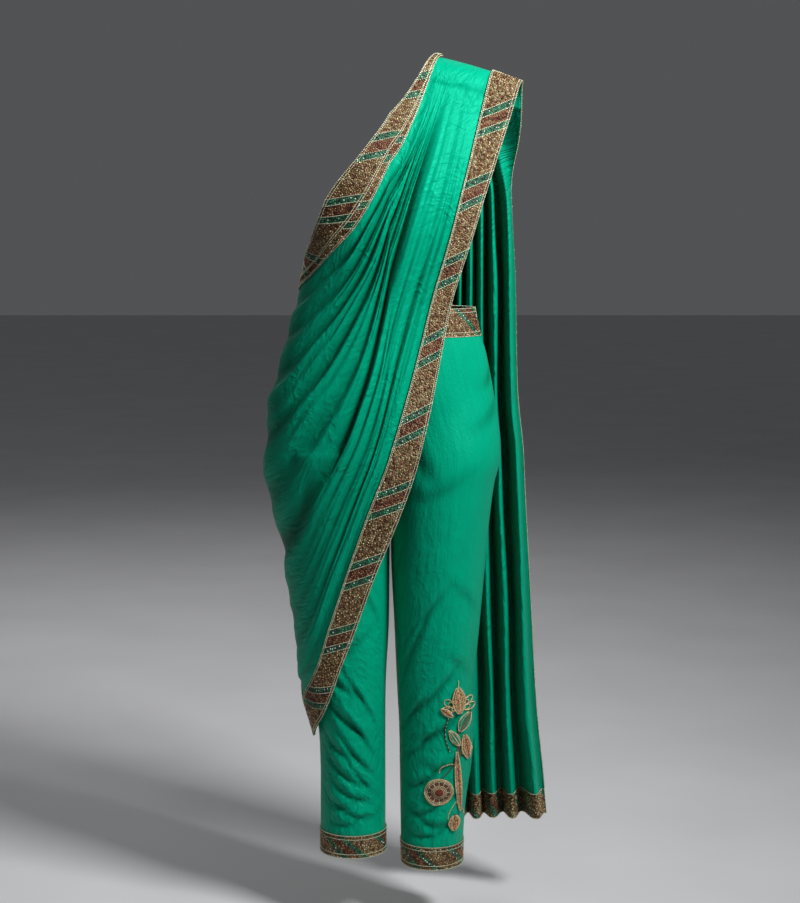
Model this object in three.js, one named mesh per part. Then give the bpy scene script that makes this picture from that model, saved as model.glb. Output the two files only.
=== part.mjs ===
// Pant saree: tapered trousers with a draped saree stretch sewn on, its pleated end over one shoulder.
// Millimetres. The origin is the middle of the waist opening, at the top of the waistband.
// +X is the wearer's left, -Y the front and +Z up. The cloth is hollow and open, held in its worn form.
import * as THREE from 'three';

// Walls and seams
const CREPE_WALL = 1.6;
const BAND_WALL = 2.0;
const MOTIF_WALL = 2.2;
const MITRE_LIMIT = 0.4;
const SEAM_GAP = 0.4;
const HALF_TURN = Math.PI;
const QUARTER_TURN = Math.PI / 2;

// Trousers
const WAISTBAND_HEIGHT = 45;
const CUFF_HEIGHT = 38;
const HIP_BLEND_TOP = -120;
const CROTCH_LEVEL = -268;
const HEM = { left: -931, right: -911 };
const PANEL_STEPS = 11;
const TUBE_STEPS = 40;

// Trouser sections by level: seat half width and depths, then each leg's outer and inner side and its depths
const TROUSER_SECTIONS = [
  { z: 0, seat: 138, front: 88, back: 82, leftOut: 138, leftIn: 1.1, rightOut: 138, rightIn: 1.1 },
  { z: -36, seat: 145, front: 91, back: 88, leftOut: 145, leftIn: 1.1, rightOut: 145, rightIn: 1.1 },
  { z: -72, seat: 156, front: 95, back: 97, leftOut: 156, leftIn: 1.1, rightOut: 156, rightIn: 1.1 },
  { z: -137, seat: 169, front: 99, back: 113, leftOut: 169, leftIn: 1.1, rightOut: 169, rightIn: 1.1 },
  { z: -190, seat: 178, front: 100, back: 121, leftOut: 178, leftIn: 1.1, rightOut: 178, rightIn: 1.1 },
  { z: -245, seat: 181, front: 99, back: 121, leftOut: 181, leftIn: 1.1, rightOut: 181, rightIn: 1.1 },
  { z: -290, seat: 173, front: 97, back: 113, leftOut: 171, leftIn: 1.2, rightOut: 173, rightIn: 1.2 },
  { z: -353, seat: 163, front: 92, back: 98, leftOut: 163, leftIn: 1.4, rightOut: 164, rightIn: 1.4 },
  { z: -419, seat: 157, front: 86, back: 88, leftOut: 157, leftIn: 1.8, rightOut: 157, rightIn: 1.8 },
  { z: -525, seat: 148, front: 78, back: 72, leftOut: 148, leftIn: 7, rightOut: 146, rightIn: 3 },
  { z: -620, seat: 141, front: 70, back: 72, leftOut: 140, leftIn: 11, rightOut: 132, rightIn: 8 },
  { z: -700, seat: 139, front: 65, back: 76, leftOut: 140, leftIn: 15, rightOut: 120, rightIn: 9 },
  { z: -760, seat: 136, front: 62, back: 72, leftOut: 136, leftIn: 16, rightOut: 117, rightIn: 9 },
  { z: -830, seat: 126, front: 59, back: 66, leftOut: 126, leftIn: 17, rightOut: 117, rightIn: 9 },
  { z: -890, seat: 122, front: 57, back: 63, leftOut: 122, leftIn: 18, rightOut: 117, rightIn: 9 },
  { z: -935, seat: 121, front: 57, back: 63, leftOut: 121, leftIn: 20, rightOut: 117, rightIn: 9 },
];

// Soft troughs worn into the trousers: place round the panel (0 side seam, 1 inseam), level, slope and size
const TROUSER_FOLDS = [
  { leg: 'left', around: 0.18, z: -130, rise: -34, reach: 46, deep: 3.0 },
  { leg: 'left', around: 0.72, z: -235, rise: 20, reach: 70, deep: 2.6 },
  { leg: 'left', around: 0.62, z: -515, rise: -46, reach: 40, deep: 3.4 },
  { leg: 'left', around: 0.7, z: -660, rise: -38, reach: 34, deep: 3.2 },
  { leg: 'left', around: 0.55, z: -735, rise: -30, reach: 30, deep: 2.8 },
  { leg: 'left', around: 0.5, z: -862, rise: 12, reach: 26, deep: 2.6 },
  { leg: 'right', around: 0.4, z: -700, rise: -40, reach: 34, deep: 3.2 },
  { leg: 'right', around: 0.52, z: -770, rise: -52, reach: 36, deep: 3.4 },
  { leg: 'right', around: 0.3, z: -822, rise: -34, reach: 28, deep: 2.8 },
  { leg: 'right', around: 0.6, z: -590, rise: 30, reach: 44, deep: 2.6 },
];

// Shoulder: the drape rounds over it on a circle, and the line of the shoulder falls towards its tip
const SHOULDER_TOP = 400.7;
const SHOULDER_RADIUS = 46;
const SHOULDER_NECK_X = 84;
const SHOULDER_FALL = 0.22;
const SHOULDER_CURVE = 0.00066;
const SHOULDER_FADE = 260;

// Form that the drape hangs on, by level: middle, half widths to the wearer's right and left, depths
const DRAPE_SECTIONS = [
  { z: 354.7, middle: 0, right: 165, left: 262, front: 46, back: 46 },
  { z: 315, middle: 0, right: 160, left: 262, front: 61, back: 69 },
  { z: 270, middle: 0, right: 156, left: 262, front: 80, back: 86 },
  { z: 220, middle: 0, right: 152, left: 262, front: 97, back: 94 },
  { z: 175, middle: 0, right: 148, left: 260, front: 107, back: 96 },
  { z: 130, middle: 0, right: 140, left: 258, front: 110, back: 95 },
  { z: 80, middle: 0, right: 134, left: 250, front: 107, back: 94 },
  { z: 12, middle: 0, right: 152, left: 232, front: 102, back: 97 },
  { z: -53, middle: 0, right: 171, left: 222, front: 105, back: 109 },
  { z: -103, middle: 0, right: 184, left: 216, front: 111, back: 123 },
  { z: -150, middle: 0, right: 199, left: 212, front: 116, back: 134 },
  { z: -207, middle: 0, right: 203, left: 210, front: 119, back: 139 },
  { z: -250, middle: 0, right: 208, left: 206, front: 119, back: 138 },
  { z: -303, middle: -4, right: 198, left: 202, front: 115, back: 130 },
  { z: -372, middle: -12, right: 173, left: 196, front: 108, back: 120 },
  { z: -464, middle: -25, right: 144, left: 190, front: 98, back: 108 },
  { z: -554, middle: -36, right: 122, left: 184, front: 91, back: 100 },
  { z: -634, middle: -46, right: 102, left: 178, front: 84, back: 93 },
  { z: -722, middle: -54, right: 70, left: 170, front: 76, back: 86 },
];

// Stations along the drape, as shares of its run from the shoulder round the right side to the back seam
const AT_SHOULDER = 0;
const AT_CHEST = 0.14;
const AT_MIDRIFF = 0.28;
const AT_HIP = 0.42;
const AT_SIDE = 0.56;
const AT_BACK = 0.8;
const AT_SEAM = 1;
const BACK_SEAM_START = 0.86;
// Between the hip and the side each line runs straight in the front view
const SIDE_APPROACH = [{ t: 0.49, share: 0.5 }, { t: 0.535, share: 0.84 }];

// Lines of the cloth from its upper edge (0) to its lower edge (1), and where each passes the stations
const CLOTH_LINES = [
  { s: 0, shoulderX: 79, chestX: 14, chestZ: 323, midriffX: -41, midriffZ: 250, hipX: -98, hipZ: 175,
    sideZ: 82, backZ: 40, seamX: 104, seamZ: -3 },
  { s: 0.07, shoulderX: 84, chestX: 38, chestZ: 300, midriffX: -3, midriffZ: 224, hipX: -54, hipZ: 131,
    sideZ: 30, backZ: -14, seamX: 104, seamZ: -7 },
  { s: 0.2, shoulderX: 92, chestX: 47, chestZ: 282, midriffX: -5, midriffZ: 172, hipX: -72, hipZ: 48,
    sideZ: -52, backZ: -80, seamX: 103, seamZ: -12 },
  { s: 0.38, shoulderX: 103, chestX: 42, chestZ: 251, midriffX: -8, midriffZ: 108, hipX: -80, hipZ: -44,
    sideZ: -214, backZ: -152, seamX: 102, seamZ: -19 },
  { s: 0.55, shoulderX: 115, chestX: 50, chestZ: 220, midriffX: -8, midriffZ: 14, hipX: -63, hipZ: -176,
    sideZ: -398, backZ: -216, seamX: 101, seamZ: -25 },
  { s: 0.75, shoulderX: 139, chestX: 84, chestZ: 186, midriffX: 22, midriffZ: -24, hipX: -28, hipZ: -224,
    sideZ: -560, backZ: -286, seamX: 100, seamZ: -32 },
  { s: 0.93, shoulderX: 166, chestX: 99, chestZ: 130, midriffX: 32, midriffZ: -121, hipX: -50, hipZ: -368,
    sideZ: -655, backZ: -346, seamX: 100, seamZ: -39 },
  { s: 1, shoulderX: 213, chestX: 125, chestZ: 101, midriffX: 62, midriffZ: -166, hipX: -26, hipZ: -432,
    sideZ: -714, backZ: -380, seamX: 99, seamZ: -42 },
];

// Valleys between the drape's folds: line of the cloth, half width, depth, and the run over which they show
const DRAPE_FOLDS = [
  { s: 0.115, wide: 0.035, deep: 4.5, from: 0.2, to: 0.95 },
  { s: 0.2, wide: 0.042, deep: 8, from: 0.12, to: 0.9 },
  { s: 0.28, wide: 0.036, deep: 9, from: 0.2, to: 0.93 },
  { s: 0.335, wide: 0.026, deep: 4, from: 0.3, to: 0.72 },
  { s: 0.385, wide: 0.036, deep: 10, from: 0.06, to: 0.92 },
  { s: 0.47, wide: 0.036, deep: 8, from: 0.06, to: 0.7 },
  { s: 0.55, wide: 0.042, deep: 13, from: 0.04, to: 0.86 },
  { s: 0.625, wide: 0.032, deep: 4, from: 0.22, to: 0.62 },
  { s: 0.69, wide: 0.036, deep: 5, from: 0.3, to: 0.8 },
  { s: 0.765, wide: 0.036, deep: 6, from: 0.14, to: 0.84 },
  { s: 0.83, wide: 0.03, deep: 3, from: 0.1, to: 0.5 },
  { s: 0.885, wide: 0.034, deep: 3.5, from: 0.3, to: 0.7 },
];
const FOLD_FADE = 0.12;
const DRAPE_CLEARANCE = 7;
const SEAT_CLEARANCE = 11;

// Beaded edges of the drape, as shares of the cloth's width
const UPPER_EDGE_WIDE = 0.05;
const UNDER_EDGE_FROM = 0.03;
const UNDER_EDGE_TO = 0.07;
const LOWER_EDGE_FROM = 0.93;

// Pleated end that hangs behind the left shoulder: its sides and middle depth by level
const PALLU_SECTIONS = [
  { z: 354.7, inner: 84, outer: 214, back: 50 },
  { z: 300, inner: 84, outer: 206, back: 84 },
  { z: 228, inner: 82, outer: 201, back: 108 },
  { z: 137, inner: 78, outer: 206, back: 124 },
  { z: 40, inner: 74, outer: 212, back: 138 },
  { z: -64, inner: 72, outer: 215, back: 154 },
  { z: -162, inner: 70, outer: 219, back: 170 },
  { z: -248, inner: 68, outer: 228, back: 174 },
  { z: -330, inner: 66, outer: 232, back: 172 },
  { z: -489, inner: 62, outer: 241, back: 166 },
  { z: -700, inner: 56, outer: 253, back: 160 },
  { z: -800, inner: 54, outer: 263, back: 158 },
  { z: -925, inner: 52, outer: 275, back: 158 },
];
const PALLU_ROUND = 330;
const PALLU_HEM = -900;
const PALLU_END_BAND = 43;
const PALLU_INNER_BAND = 0.045;
const PALLU_BAND_SPARE = 0.15;
const PALLU_OUTER_BAND = 0.07;
const PALLU_OPENS_AT = 340;
const PALLU_FULL_AT = 60;
// One row a pleat, from the neck side outwards: its share of the width and its depth from the middle
const PLEATS = [
  { share: 0.12, deep: 15 },
  { share: 0.13, deep: 19 },
  { share: 0.12, deep: 18 },
  { share: 0.15, deep: 21 },
  { share: 0.13, deep: 18 },
  { share: 0.16, deep: 22 },
  { share: 0.19, deep: 24 },
];

// Raised motif on the lower left leg: a stem, leaves, a paisley and a round medallion
const MEDALLION = { x: 80, z: -797, radius: 22, clear: 0.3 };
const MOTIF_LEAVES = [
  { name: 'motif_crown_leaf', x: 111, z: -643, long: 44, wide: 20, lean: 4, clear: 1.1 },
  { name: 'motif_side_leaf', x: 92, z: -661, long: 22, wide: 10, lean: 52, clear: 0.5 },
  { name: 'motif_paisley', x: 121, z: -681, long: 32, wide: 19, lean: -28, clear: 0.3 },
  { name: 'motif_green_leaf', x: 105, z: -706, long: 30, wide: 13, lean: 30, clear: 0.1 },
  { name: 'motif_feather', x: 124, z: -724, long: 42, wide: 15, lean: 8, clear: 0.3 },
  { name: 'motif_stem', x: 111, z: -782, long: 104, wide: 10, lean: 3, clear: 0.4 },
  { name: 'motif_bud', x: 104, z: -853, long: 26, wide: 18, lean: 0, clear: 1.1 },
];

const FINISH = {
  crepe: new THREE.MeshStandardMaterial({ color: 0x009c70, roughness: 0.62, metalness: 0 }),
  crepeBack: new THREE.MeshStandardMaterial({ color: 0x018a63, roughness: 0.66, metalness: 0 }),
  beaded: new THREE.MeshStandardMaterial({ color: 0x8c7350, roughness: 0.5, metalness: 0.35 }),
  motif: new THREE.MeshStandardMaterial({ color: 0xb08d4c, roughness: 0.45, metalness: 0.4 }),
};

const clamp01 = (value) => Math.min(1, Math.max(0, value));
const mix = (a, b, share) => a + (b - a) * share;

/** Smooth step from 0 at `from` to 1 at `to`. */
function ease(from, to, at) {
  const share = clamp01((at - from) / (to - from));
  return share * share * (3 - 2 * share);
}

/** Reads a named column of a table at a value of its key column, on a smooth curve through the rows. */
function read(rows, key, column, at) {
  const down = rows[0][key] > rows[1][key] ? -1 : 1;
  let row = 0;
  while (row < rows.length - 2 && (at - rows[row + 1][key]) * down > 0) {
    row += 1;
  }
  const slope = (k) => {
    const before = rows[Math.max(k - 1, 0)];
    const after = rows[Math.min(k + 1, rows.length - 1)];
    return (after[column] - before[column]) / (after[key] - before[key]);
  };
  const start = rows[row];
  const end = rows[row + 1];
  const span = end[key] - start[key];
  const t = clamp01((at - start[key]) / span);
  const rest = 1 - t;
  return start[column] * (1 + 2 * t) * rest * rest + slope(row) * span * t * rest * rest
    + end[column] * t * t * (3 - 2 * t) - slope(row + 1) * span * t * t * rest;
}

/** Evenly spaced values, both ends included. */
function steps(from, to, count) {
  return Array.from({ length: count + 1 }, (_, k) => mix(from, to, k / count));
}

/** Unit normal of a surface at a place on it. */
function normalAt(point, u, v) {
  const delta = 1e-4;
  const alongU = point(u + delta, v).sub(point(u - delta, v));
  const alongV = point(u, v + delta).sub(point(u, v - delta));
  return alongU.cross(alongV).normalize();
}

/** Offsets at the corners of a grid that keep each facet's wall at its full thickness. */
function mitreOffsets(base) {
  const around = base.map((line) => line.map(() => []));
  for (let i = 0; i < base.length - 1; i += 1) {
    for (let j = 0; j < base[i].length - 1; j += 1) {
      const halves = [[[i, j], [i + 1, j], [i + 1, j + 1]], [[i, j], [i + 1, j + 1], [i, j + 1]]];
      for (const corners of halves) {
        const [a, b, c] = corners.map(([m, n]) => base[m][n]);
        const normal = b.clone().sub(a).cross(c.clone().sub(a)).normalize();
        corners.forEach(([m, n], k) => {
          const [here, next, last] = [0, 1, 2].map((turn) => {
            const [row, column] = corners[(k + turn) % 3];
            return base[row][column];
          });
          const wide = next.clone().sub(here).angleTo(last.clone().sub(here));
          around[m][n].push({ normal, wide });
        });
      }
    }
  }
  return around.map((line) => line.map((facets) => {
    const mean = new THREE.Vector3();
    facets.forEach(({ normal, wide }) => mean.addScaledVector(normal, wide));
    mean.normalize();
    const least = Math.min(...facets.map(({ normal }) => normal.dot(mean)));
    return mean.divideScalar(Math.max(least, MITRE_LIMIT));
  }));
}

/**
 * A closed wall over the grid of a surface: point(u, v) gives its middle, `face` is 1 where the u direction
 * crossed with the v direction points outwards and -1 where it points inwards, and `lift` moves it outwards.
 */
function wall(name, finish, point, us, downs, options = {}) {
  const { thick = CREPE_WALL, lift = 0, face = 1, tube = false, mitred = false } = options;
  const vs = [...downs].sort((a, b) => a - b);
  const base = us.map((u) => vs.map((v) => point(u, v)));
  const offset = mitred ? mitreOffsets(base) : us.map((u) => vs.map((v) => normalAt(point, u, v)));
  const rows = [];
  base.forEach((line, i) => line.forEach((start, j) => {
    const middle = start.clone().addScaledVector(offset[i][j], lift * face);
    rows.push(middle.clone().addScaledVector(offset[i][j], thick / 2));
    rows.push(middle.addScaledVector(offset[i][j], -thick / 2));
  }));
  const countU = tube ? us.length : us.length - 1;
  const countV = vs.length - 1;
  const index = (i, j, side) => ((i % us.length) * vs.length + j) * 2 + side;
  const faces = [];
  const quad = (a, b, c, d) => faces.push(a, b, c, a, c, d);
  for (let i = 0; i < countU; i += 1) {
    for (let j = 0; j < countV; j += 1) {
      quad(index(i, j, 0), index(i + 1, j, 0), index(i + 1, j + 1, 0), index(i, j + 1, 0));
      quad(index(i, j, 1), index(i, j + 1, 1), index(i + 1, j + 1, 1), index(i + 1, j, 1));
    }
    quad(index(i + 1, 0, 0), index(i, 0, 0), index(i, 0, 1), index(i + 1, 0, 1));
    quad(index(i, countV, 0), index(i + 1, countV, 0), index(i + 1, countV, 1), index(i, countV, 1));
  }
  for (let j = 0; j < countV && !tube; j += 1) {
    quad(index(0, j, 0), index(0, j + 1, 0), index(0, j + 1, 1), index(0, j, 1));
    quad(index(countU, j + 1, 0), index(countU, j, 0), index(countU, j, 1), index(countU, j + 1, 1));
  }
  const geometry = new THREE.BufferGeometry();
  geometry.setAttribute('position', new THREE.Float32BufferAttribute(rows.flatMap((p) => p.toArray()), 3));
  geometry.setIndex(faces);
  const mesh = new THREE.Mesh(geometry, finish);
  mesh.name = name;
  return mesh;
}

/** Depth of the worn troughs of one leg at a place round its front or back panel. */
function trouserFold(leg, around, z) {
  let depth = 0;
  for (const fold of TROUSER_FOLDS) {
    if (fold.leg === leg) {
      const off = (z - fold.z - fold.rise * (around - fold.around) * 2) / (fold.reach * 0.3);
      const aside = (around - fold.around) / 0.3;
      depth += fold.deep * Math.exp(-off * off - aside * aside);
    }
  }
  return depth;
}

/** A point of the trousers: `side` is 1 on the left leg, -1 on the right; `turn` is -1 in front, 1 behind. */
function trouserPoint(side, turn, around, z) {
  const leg = side > 0 ? 'left' : 'right';
  const depth = read(TROUSER_SECTIONS, 'z', turn < 0 ? 'front' : 'back', z) - trouserFold(leg, around, z);
  const legShare = ease(HIP_BLEND_TOP, CROTCH_LEVEL, z);
  const seat = read(TROUSER_SECTIONS, 'z', 'seat', z);
  const outer = read(TROUSER_SECTIONS, 'z', `${leg}Out`, z);
  const inner = Math.max(read(TROUSER_SECTIONS, 'z', `${leg}In`, z), 1.1);
  const seatAngle = around * QUARTER_TURN;
  const legAngle = around * HALF_TURN;
  const seamX = 0.25 + 0.85 * Math.sqrt(legShare);
  const seatX = seamX + (seat - seamX) * Math.cos(seatAngle);
  const legX = (outer + inner) / 2 + ((outer - inner) / 2) * Math.cos(legAngle);
  const y = turn * depth * mix(Math.sin(seatAngle), Math.sin(legAngle), legShare);
  return new THREE.Vector3(side * Math.max(mix(seatX, legX, legShare), seamX), y, z);
}

/** One of the four trouser panels, from the waistband down to the cuff. */
function trouserPanel(name, side, turn) {
  const cuffTop = HEM[side > 0 ? 'left' : 'right'] + CUFF_HEIGHT;
  const levels = [-WAISTBAND_HEIGHT - SEAM_GAP / 2, -80, -120, -155, -190, -218, -245, -268, -305, -360,
    -430, -500, -560, -620, -670, -720, -770, -820, -855, cuffTop + SEAM_GAP / 2];
  const seam = SEAM_GAP / 2 / 250;
  const point = (around, z) => trouserPoint(side, turn, around, z);
  return wall(name, FINISH.crepe, point, steps(seam, 1 - seam, PANEL_STEPS), levels, { face: side * turn });
}

/** A closed section of the seat or of one leg at a level, by share of the full turn, a little proud. */
function ringPoint(side, share, z, proud) {
  const around = share * 2;
  const turn = around < 1 ? -1 : 1;
  const back = around < 1 ? around : 2 - around;
  if (side === 0) {
    const angle = share * 2 * HALF_TURN;
    const depth = read(TROUSER_SECTIONS, 'z', turn < 0 ? 'front' : 'back', z);
    const wide = read(TROUSER_SECTIONS, 'z', 'seat', z);
    return new THREE.Vector3((wide + proud) * Math.cos(angle), -(depth + proud) * Math.sin(angle), z);
  }
  const leg = side > 0 ? 'left' : 'right';
  const depth = read(TROUSER_SECTIONS, 'z', turn < 0 ? 'front' : 'back', z);
  const outer = read(TROUSER_SECTIONS, 'z', `${leg}Out`, z) + proud;
  const inner = read(TROUSER_SECTIONS, 'z', `${leg}In`, z) - proud;
  const angle = back * HALF_TURN;
  const x = (outer + inner) / 2 + ((outer - inner) / 2) * Math.cos(angle);
  return new THREE.Vector3(side * x, turn * (depth + proud) * Math.sin(angle), z);
}

/** Waistband: one beaded tube round the waist. */
function waistband() {
  const shares = steps(0, 1, TUBE_STEPS).slice(0, -1);
  const levels = [0, -WAISTBAND_HEIGHT / 2, -WAISTBAND_HEIGHT + SEAM_GAP / 2];
  const point = (share, z) => ringPoint(0, share, z, 0);
  return wall('waistband', FINISH.beaded, point, shares, levels, { thick: BAND_WALL, face: -1, tube: true });
}

/** Cuff: a beaded tube at a leg's hem. */
function cuff(name, side) {
  const hem = HEM[side > 0 ? 'left' : 'right'];
  const shares = steps(0, 1, TUBE_STEPS - 8).slice(0, -1);
  const levels = [hem + CUFF_HEIGHT - SEAM_GAP / 2, hem + CUFF_HEIGHT / 2, hem];
  const point = (share, z) => ringPoint(side, share, z, 0.6);
  return wall(name, FINISH.beaded, point, shares, levels, { thick: BAND_WALL, face: -side, tube: true });
}

/** How far the line of the shoulder has fallen below its top at a place across it. */
function shoulderDrop(x) {
  const away = x - SHOULDER_NECK_X;
  return SHOULDER_FALL * away + SHOULDER_CURVE * away * Math.abs(away);
}

/** Level on the drape's form after a run down from the shoulder's top, before the shoulder's slope. */
function levelAfter(run) {
  const round = SHOULDER_RADIUS * QUARTER_TURN;
  if (run < round) {
    return SHOULDER_TOP - SHOULDER_RADIUS * (1 - Math.cos(run / SHOULDER_RADIUS));
  }
  return SHOULDER_TOP - SHOULDER_RADIUS - (run - round);
}

/** Run down from the shoulder's top that reaches a level at a place across the form. */
function runTo(x, z) {
  let level = z;
  for (let pass = 0; pass < 6; pass += 1) {
    level = z + shoulderDrop(x) * (1 - ease(SHOULDER_TOP, SHOULDER_TOP - SHOULDER_FADE, level));
  }
  const fallen = SHOULDER_TOP - level;
  if (fallen < SHOULDER_RADIUS) {
    return SHOULDER_RADIUS * Math.acos(Math.min(1, 1 - fallen / SHOULDER_RADIUS));
  }
  return SHOULDER_RADIUS * QUARTER_TURN + fallen - SHOULDER_RADIUS;
}

/** Depth of a form's front or back after a run down from the shoulder. */
function depthAfter(rows, column, run) {
  if (run < SHOULDER_RADIUS * QUARTER_TURN) {
    return SHOULDER_RADIUS * Math.sin(run / SHOULDER_RADIUS);
  }
  return read(rows, 'z', column, levelAfter(run));
}

/** Point of the drape's form: `angle` goes from the left side by the front and right side to the back. */
function formPoint(angle, run) {
  const level = levelAfter(run);
  const across = Math.cos(angle);
  const turn = Math.sin(angle);
  const wide = read(DRAPE_SECTIONS, 'z', across > 0 ? 'left' : 'right', level);
  const x = read(DRAPE_SECTIONS, 'z', 'middle', level) + wide * across;
  const y = -depthAfter(DRAPE_SECTIONS, turn > 0 ? 'front' : 'back', run) * turn;
  const z = level - shoulderDrop(x) * (1 - ease(SHOULDER_TOP, SHOULDER_TOP - SHOULDER_FADE, level));
  return new THREE.Vector3(x, y, z);
}

/** Angle on the drape's form of a place across it, in front or behind. */
function angleAt(x, z, behind) {
  const across = x - read(DRAPE_SECTIONS, 'z', 'middle', z);
  const wide = read(DRAPE_SECTIONS, 'z', across > 0 ? 'left' : 'right', z);
  const angle = Math.acos(Math.max(-1, Math.min(1, across / wide)));
  return behind ? 2 * HALF_TURN - angle : angle;
}

/** The stations that one line of the cloth passes, as angle and run on the form. */
function lineStations(s) {
  const at = (column) => read(CLOTH_LINES, 's', column, s);
  const place = (t, x, z, behind) => ({ t, angle: angleAt(x, z, behind), run: runTo(x, z) });
  const front = ['chest', 'midriff', 'hip'].map((name, k) => (
    place([AT_CHEST, AT_MIDRIFF, AT_HIP][k], at(`${name}X`), at(`${name}Z`), false)));
  const shoulder = at('shoulderX');
  const section = (column) => read(DRAPE_SECTIONS, 'z', column, at('sideZ'));
  const sideX = section('middle') - section('right');
  return [
    { t: AT_SHOULDER, angle: angleAt(shoulder, SHOULDER_TOP - SHOULDER_RADIUS, false), run: 0 },
    ...front,
    ...SIDE_APPROACH.map(({ t, share }) => (
      place(t, mix(at('hipX'), sideX, share), mix(at('hipZ'), at('sideZ'), share), false))),
    { t: AT_SIDE, angle: HALF_TURN, run: runTo(0, at('sideZ')) },
    { t: AT_BACK, angle: 3 * QUARTER_TURN, run: runTo(0, at('backZ')) },
    place(AT_SEAM, at('seamX'), at('seamZ'), true),
  ];
}

/** Sum of the fold valleys at a place on the cloth, as a depth inwards. */
function drapeFold(s, t) {
  let depth = 0;
  for (const fold of DRAPE_FOLDS) {
    const off = Math.abs(s - fold.s) / fold.wide;
    if (off < 1) {
      const shown = ease(fold.from, fold.from + FOLD_FADE, t) * ease(fold.to, fold.to - FOLD_FADE, t);
      depth += fold.deep * shown * Math.cos(off * QUARTER_TURN) ** 2;
    }
  }
  return depth;
}

/** Moves a point out of an upright oval section if it lies inside it. */
function keepOutside(point, middle, wide, deep) {
  const reach = Math.hypot((point.x - middle) / wide, point.y / deep);
  if (reach < 1) {
    point.x = middle + (point.x - middle) / reach;
    point.y /= reach;
  }
}

/** Keeps a point of the drape clear of the trousers under it. */
function clearTrousers(point) {
  const at = (column) => read(TROUSER_SECTIONS, 'z', column, point.z);
  const onSeat = ease(-60, -150, point.z) * ease(-420, -300, point.z);
  const deep = at(point.y < 0 ? 'front' : 'back') + DRAPE_CLEARANCE + SEAT_CLEARANCE * onSeat;
  if (point.z < 8 && point.z > CROTCH_LEVEL - 40) {
    keepOutside(point, 0, at('seat') + DRAPE_CLEARANCE + SEAT_CLEARANCE * onSeat, deep);
  }
  if (point.z < CROTCH_LEVEL + 40) {
    for (const [side, leg] of [[-1, 'right'], [1, 'left']]) {
      const outer = at(`${leg}Out`);
      const inner = at(`${leg}In`);
      keepOutside(point, (side * (outer + inner)) / 2, (outer - inner) / 2 + DRAPE_CLEARANCE, deep);
    }
  }
}

const stationsOf = new Map();

/** Point of the drape at a line of its cloth and a share of its run, with its folds pressed in. */
function drapePoint(s, t) {
  const key = s.toFixed(7);
  if (!stationsOf.has(key)) {
    stationsOf.set(key, lineStations(s));
  }
  const stations = stationsOf.get(key);
  const angle = read(stations, 't', 'angle', t);
  const run = read(stations, 't', 'run', t);
  const point = formPoint(angle, Math.max(run, 0));
  const middle = read(DRAPE_SECTIONS, 'z', 'middle', point.z);
  const outwards = new THREE.Vector3(point.x - middle, point.y, 0);
  point.addScaledVector(outwards.normalize(), -drapeFold(s, t));
  clearTrousers(point);
  const sewn = ease(BACK_SEAM_START, AT_SEAM, t);
  if (sewn > 0) {
    const across = clamp01(point.x / read(TROUSER_SECTIONS, 'z', 'seat', point.z));
    const share = 1 - Math.acos(across) / (2 * HALF_TURN);
    const proud = (CREPE_WALL + BAND_WALL) / 2 + SEAM_GAP;
    point.lerp(ringPoint(0, share, point.z, proud), sewn);
  }
  return point;
}

/** Shares across the drape's cloth, with lines at the edges of its beaded bands. */
function clothLines(count) {
  const middle = steps(UNDER_EDGE_TO, LOWER_EDGE_FROM, count);
  return [0, 0.015, UNDER_EDGE_FROM, UPPER_EDGE_WIDE, ...middle, 0.953, 0.977, 1];
}

const FRONT_RUN = [0.0004, 0.012, 0.028, 0.046, 0.07, 0.1, 0.14, 0.18, 0.225, 0.27, 0.315, 0.36, 0.4, 0.435,
  0.468, 0.5, 0.53, 0.56, 0.59];
const SIDE_SEAM_RUN = FRONT_RUN[FRONT_RUN.length - 1];
const BACK_RUN = [SIDE_SEAM_RUN + 0.0012, 0.62, 0.655, 0.695, 0.735, 0.775, 0.81, 0.845, 0.88, 0.91, 0.94,
  0.97, AT_SEAM];

/** A beaded band laid on the drape, from the cloth's own points moved out. */
function drapeBand(name, lines, run, lift) {
  return wall(name, FINISH.beaded, drapePoint, lines, run, { thick: BAND_WALL, lift, face: -1 });
}

/** Turns and depth of the pleats at a share of the pallu's width. */
function pleatWave(s) {
  let start = 0;
  let row = 0;
  while (row < PLEATS.length - 1 && s > start + PLEATS[row].share) {
    start += PLEATS[row].share;
    row += 1;
  }
  const pleat = PLEATS[row];
  return pleat.deep * Math.cos(((s - start) / pleat.share) * 2 * HALF_TURN);
}

/** Point of the pallu at a share of its width and a level, with its pleats. */
function palluPoint(s, run) {
  const level = levelAfter(run);
  const inner = read(PALLU_SECTIONS, 'z', 'inner', level);
  const outer = read(PALLU_SECTIONS, 'z', 'outer', level);
  const opened = 1 - ease(PALLU_OPENS_AT - 160, PALLU_OPENS_AT + 20, level);
  const x = mix(read(CLOTH_LINES, 's', 'shoulderX', s), mix(inner, outer, s), opened);
  const round = Math.sqrt(1 - (x / PALLU_ROUND) ** 2);
  const depth = depthAfter(PALLU_SECTIONS, 'back', run);
  const onShoulder = Math.sin(angleAt(x, SHOULDER_TOP - SHOULDER_RADIUS, false));
  const fade = 1 - ease(SHOULDER_TOP, SHOULDER_TOP - SHOULDER_FADE, level);
  const wave = pleatWave(s) * (1 - ease(PALLU_FULL_AT, SHOULDER_TOP - 20, level));
  return new THREE.Vector3(x, depth * mix(onShoulder, round, opened) + wave, level - shoulderDrop(x) * fade);
}

/** Shares across the pallu, six to a pleat. */
function palluLines() {
  const lines = [0];
  let start = 0;
  for (const pleat of PLEATS) {
    for (let k = 1; k <= 6; k += 1) {
      lines.push(start + (pleat.share * k) / 6);
    }
    start += pleat.share;
  }
  return lines;
}

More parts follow.
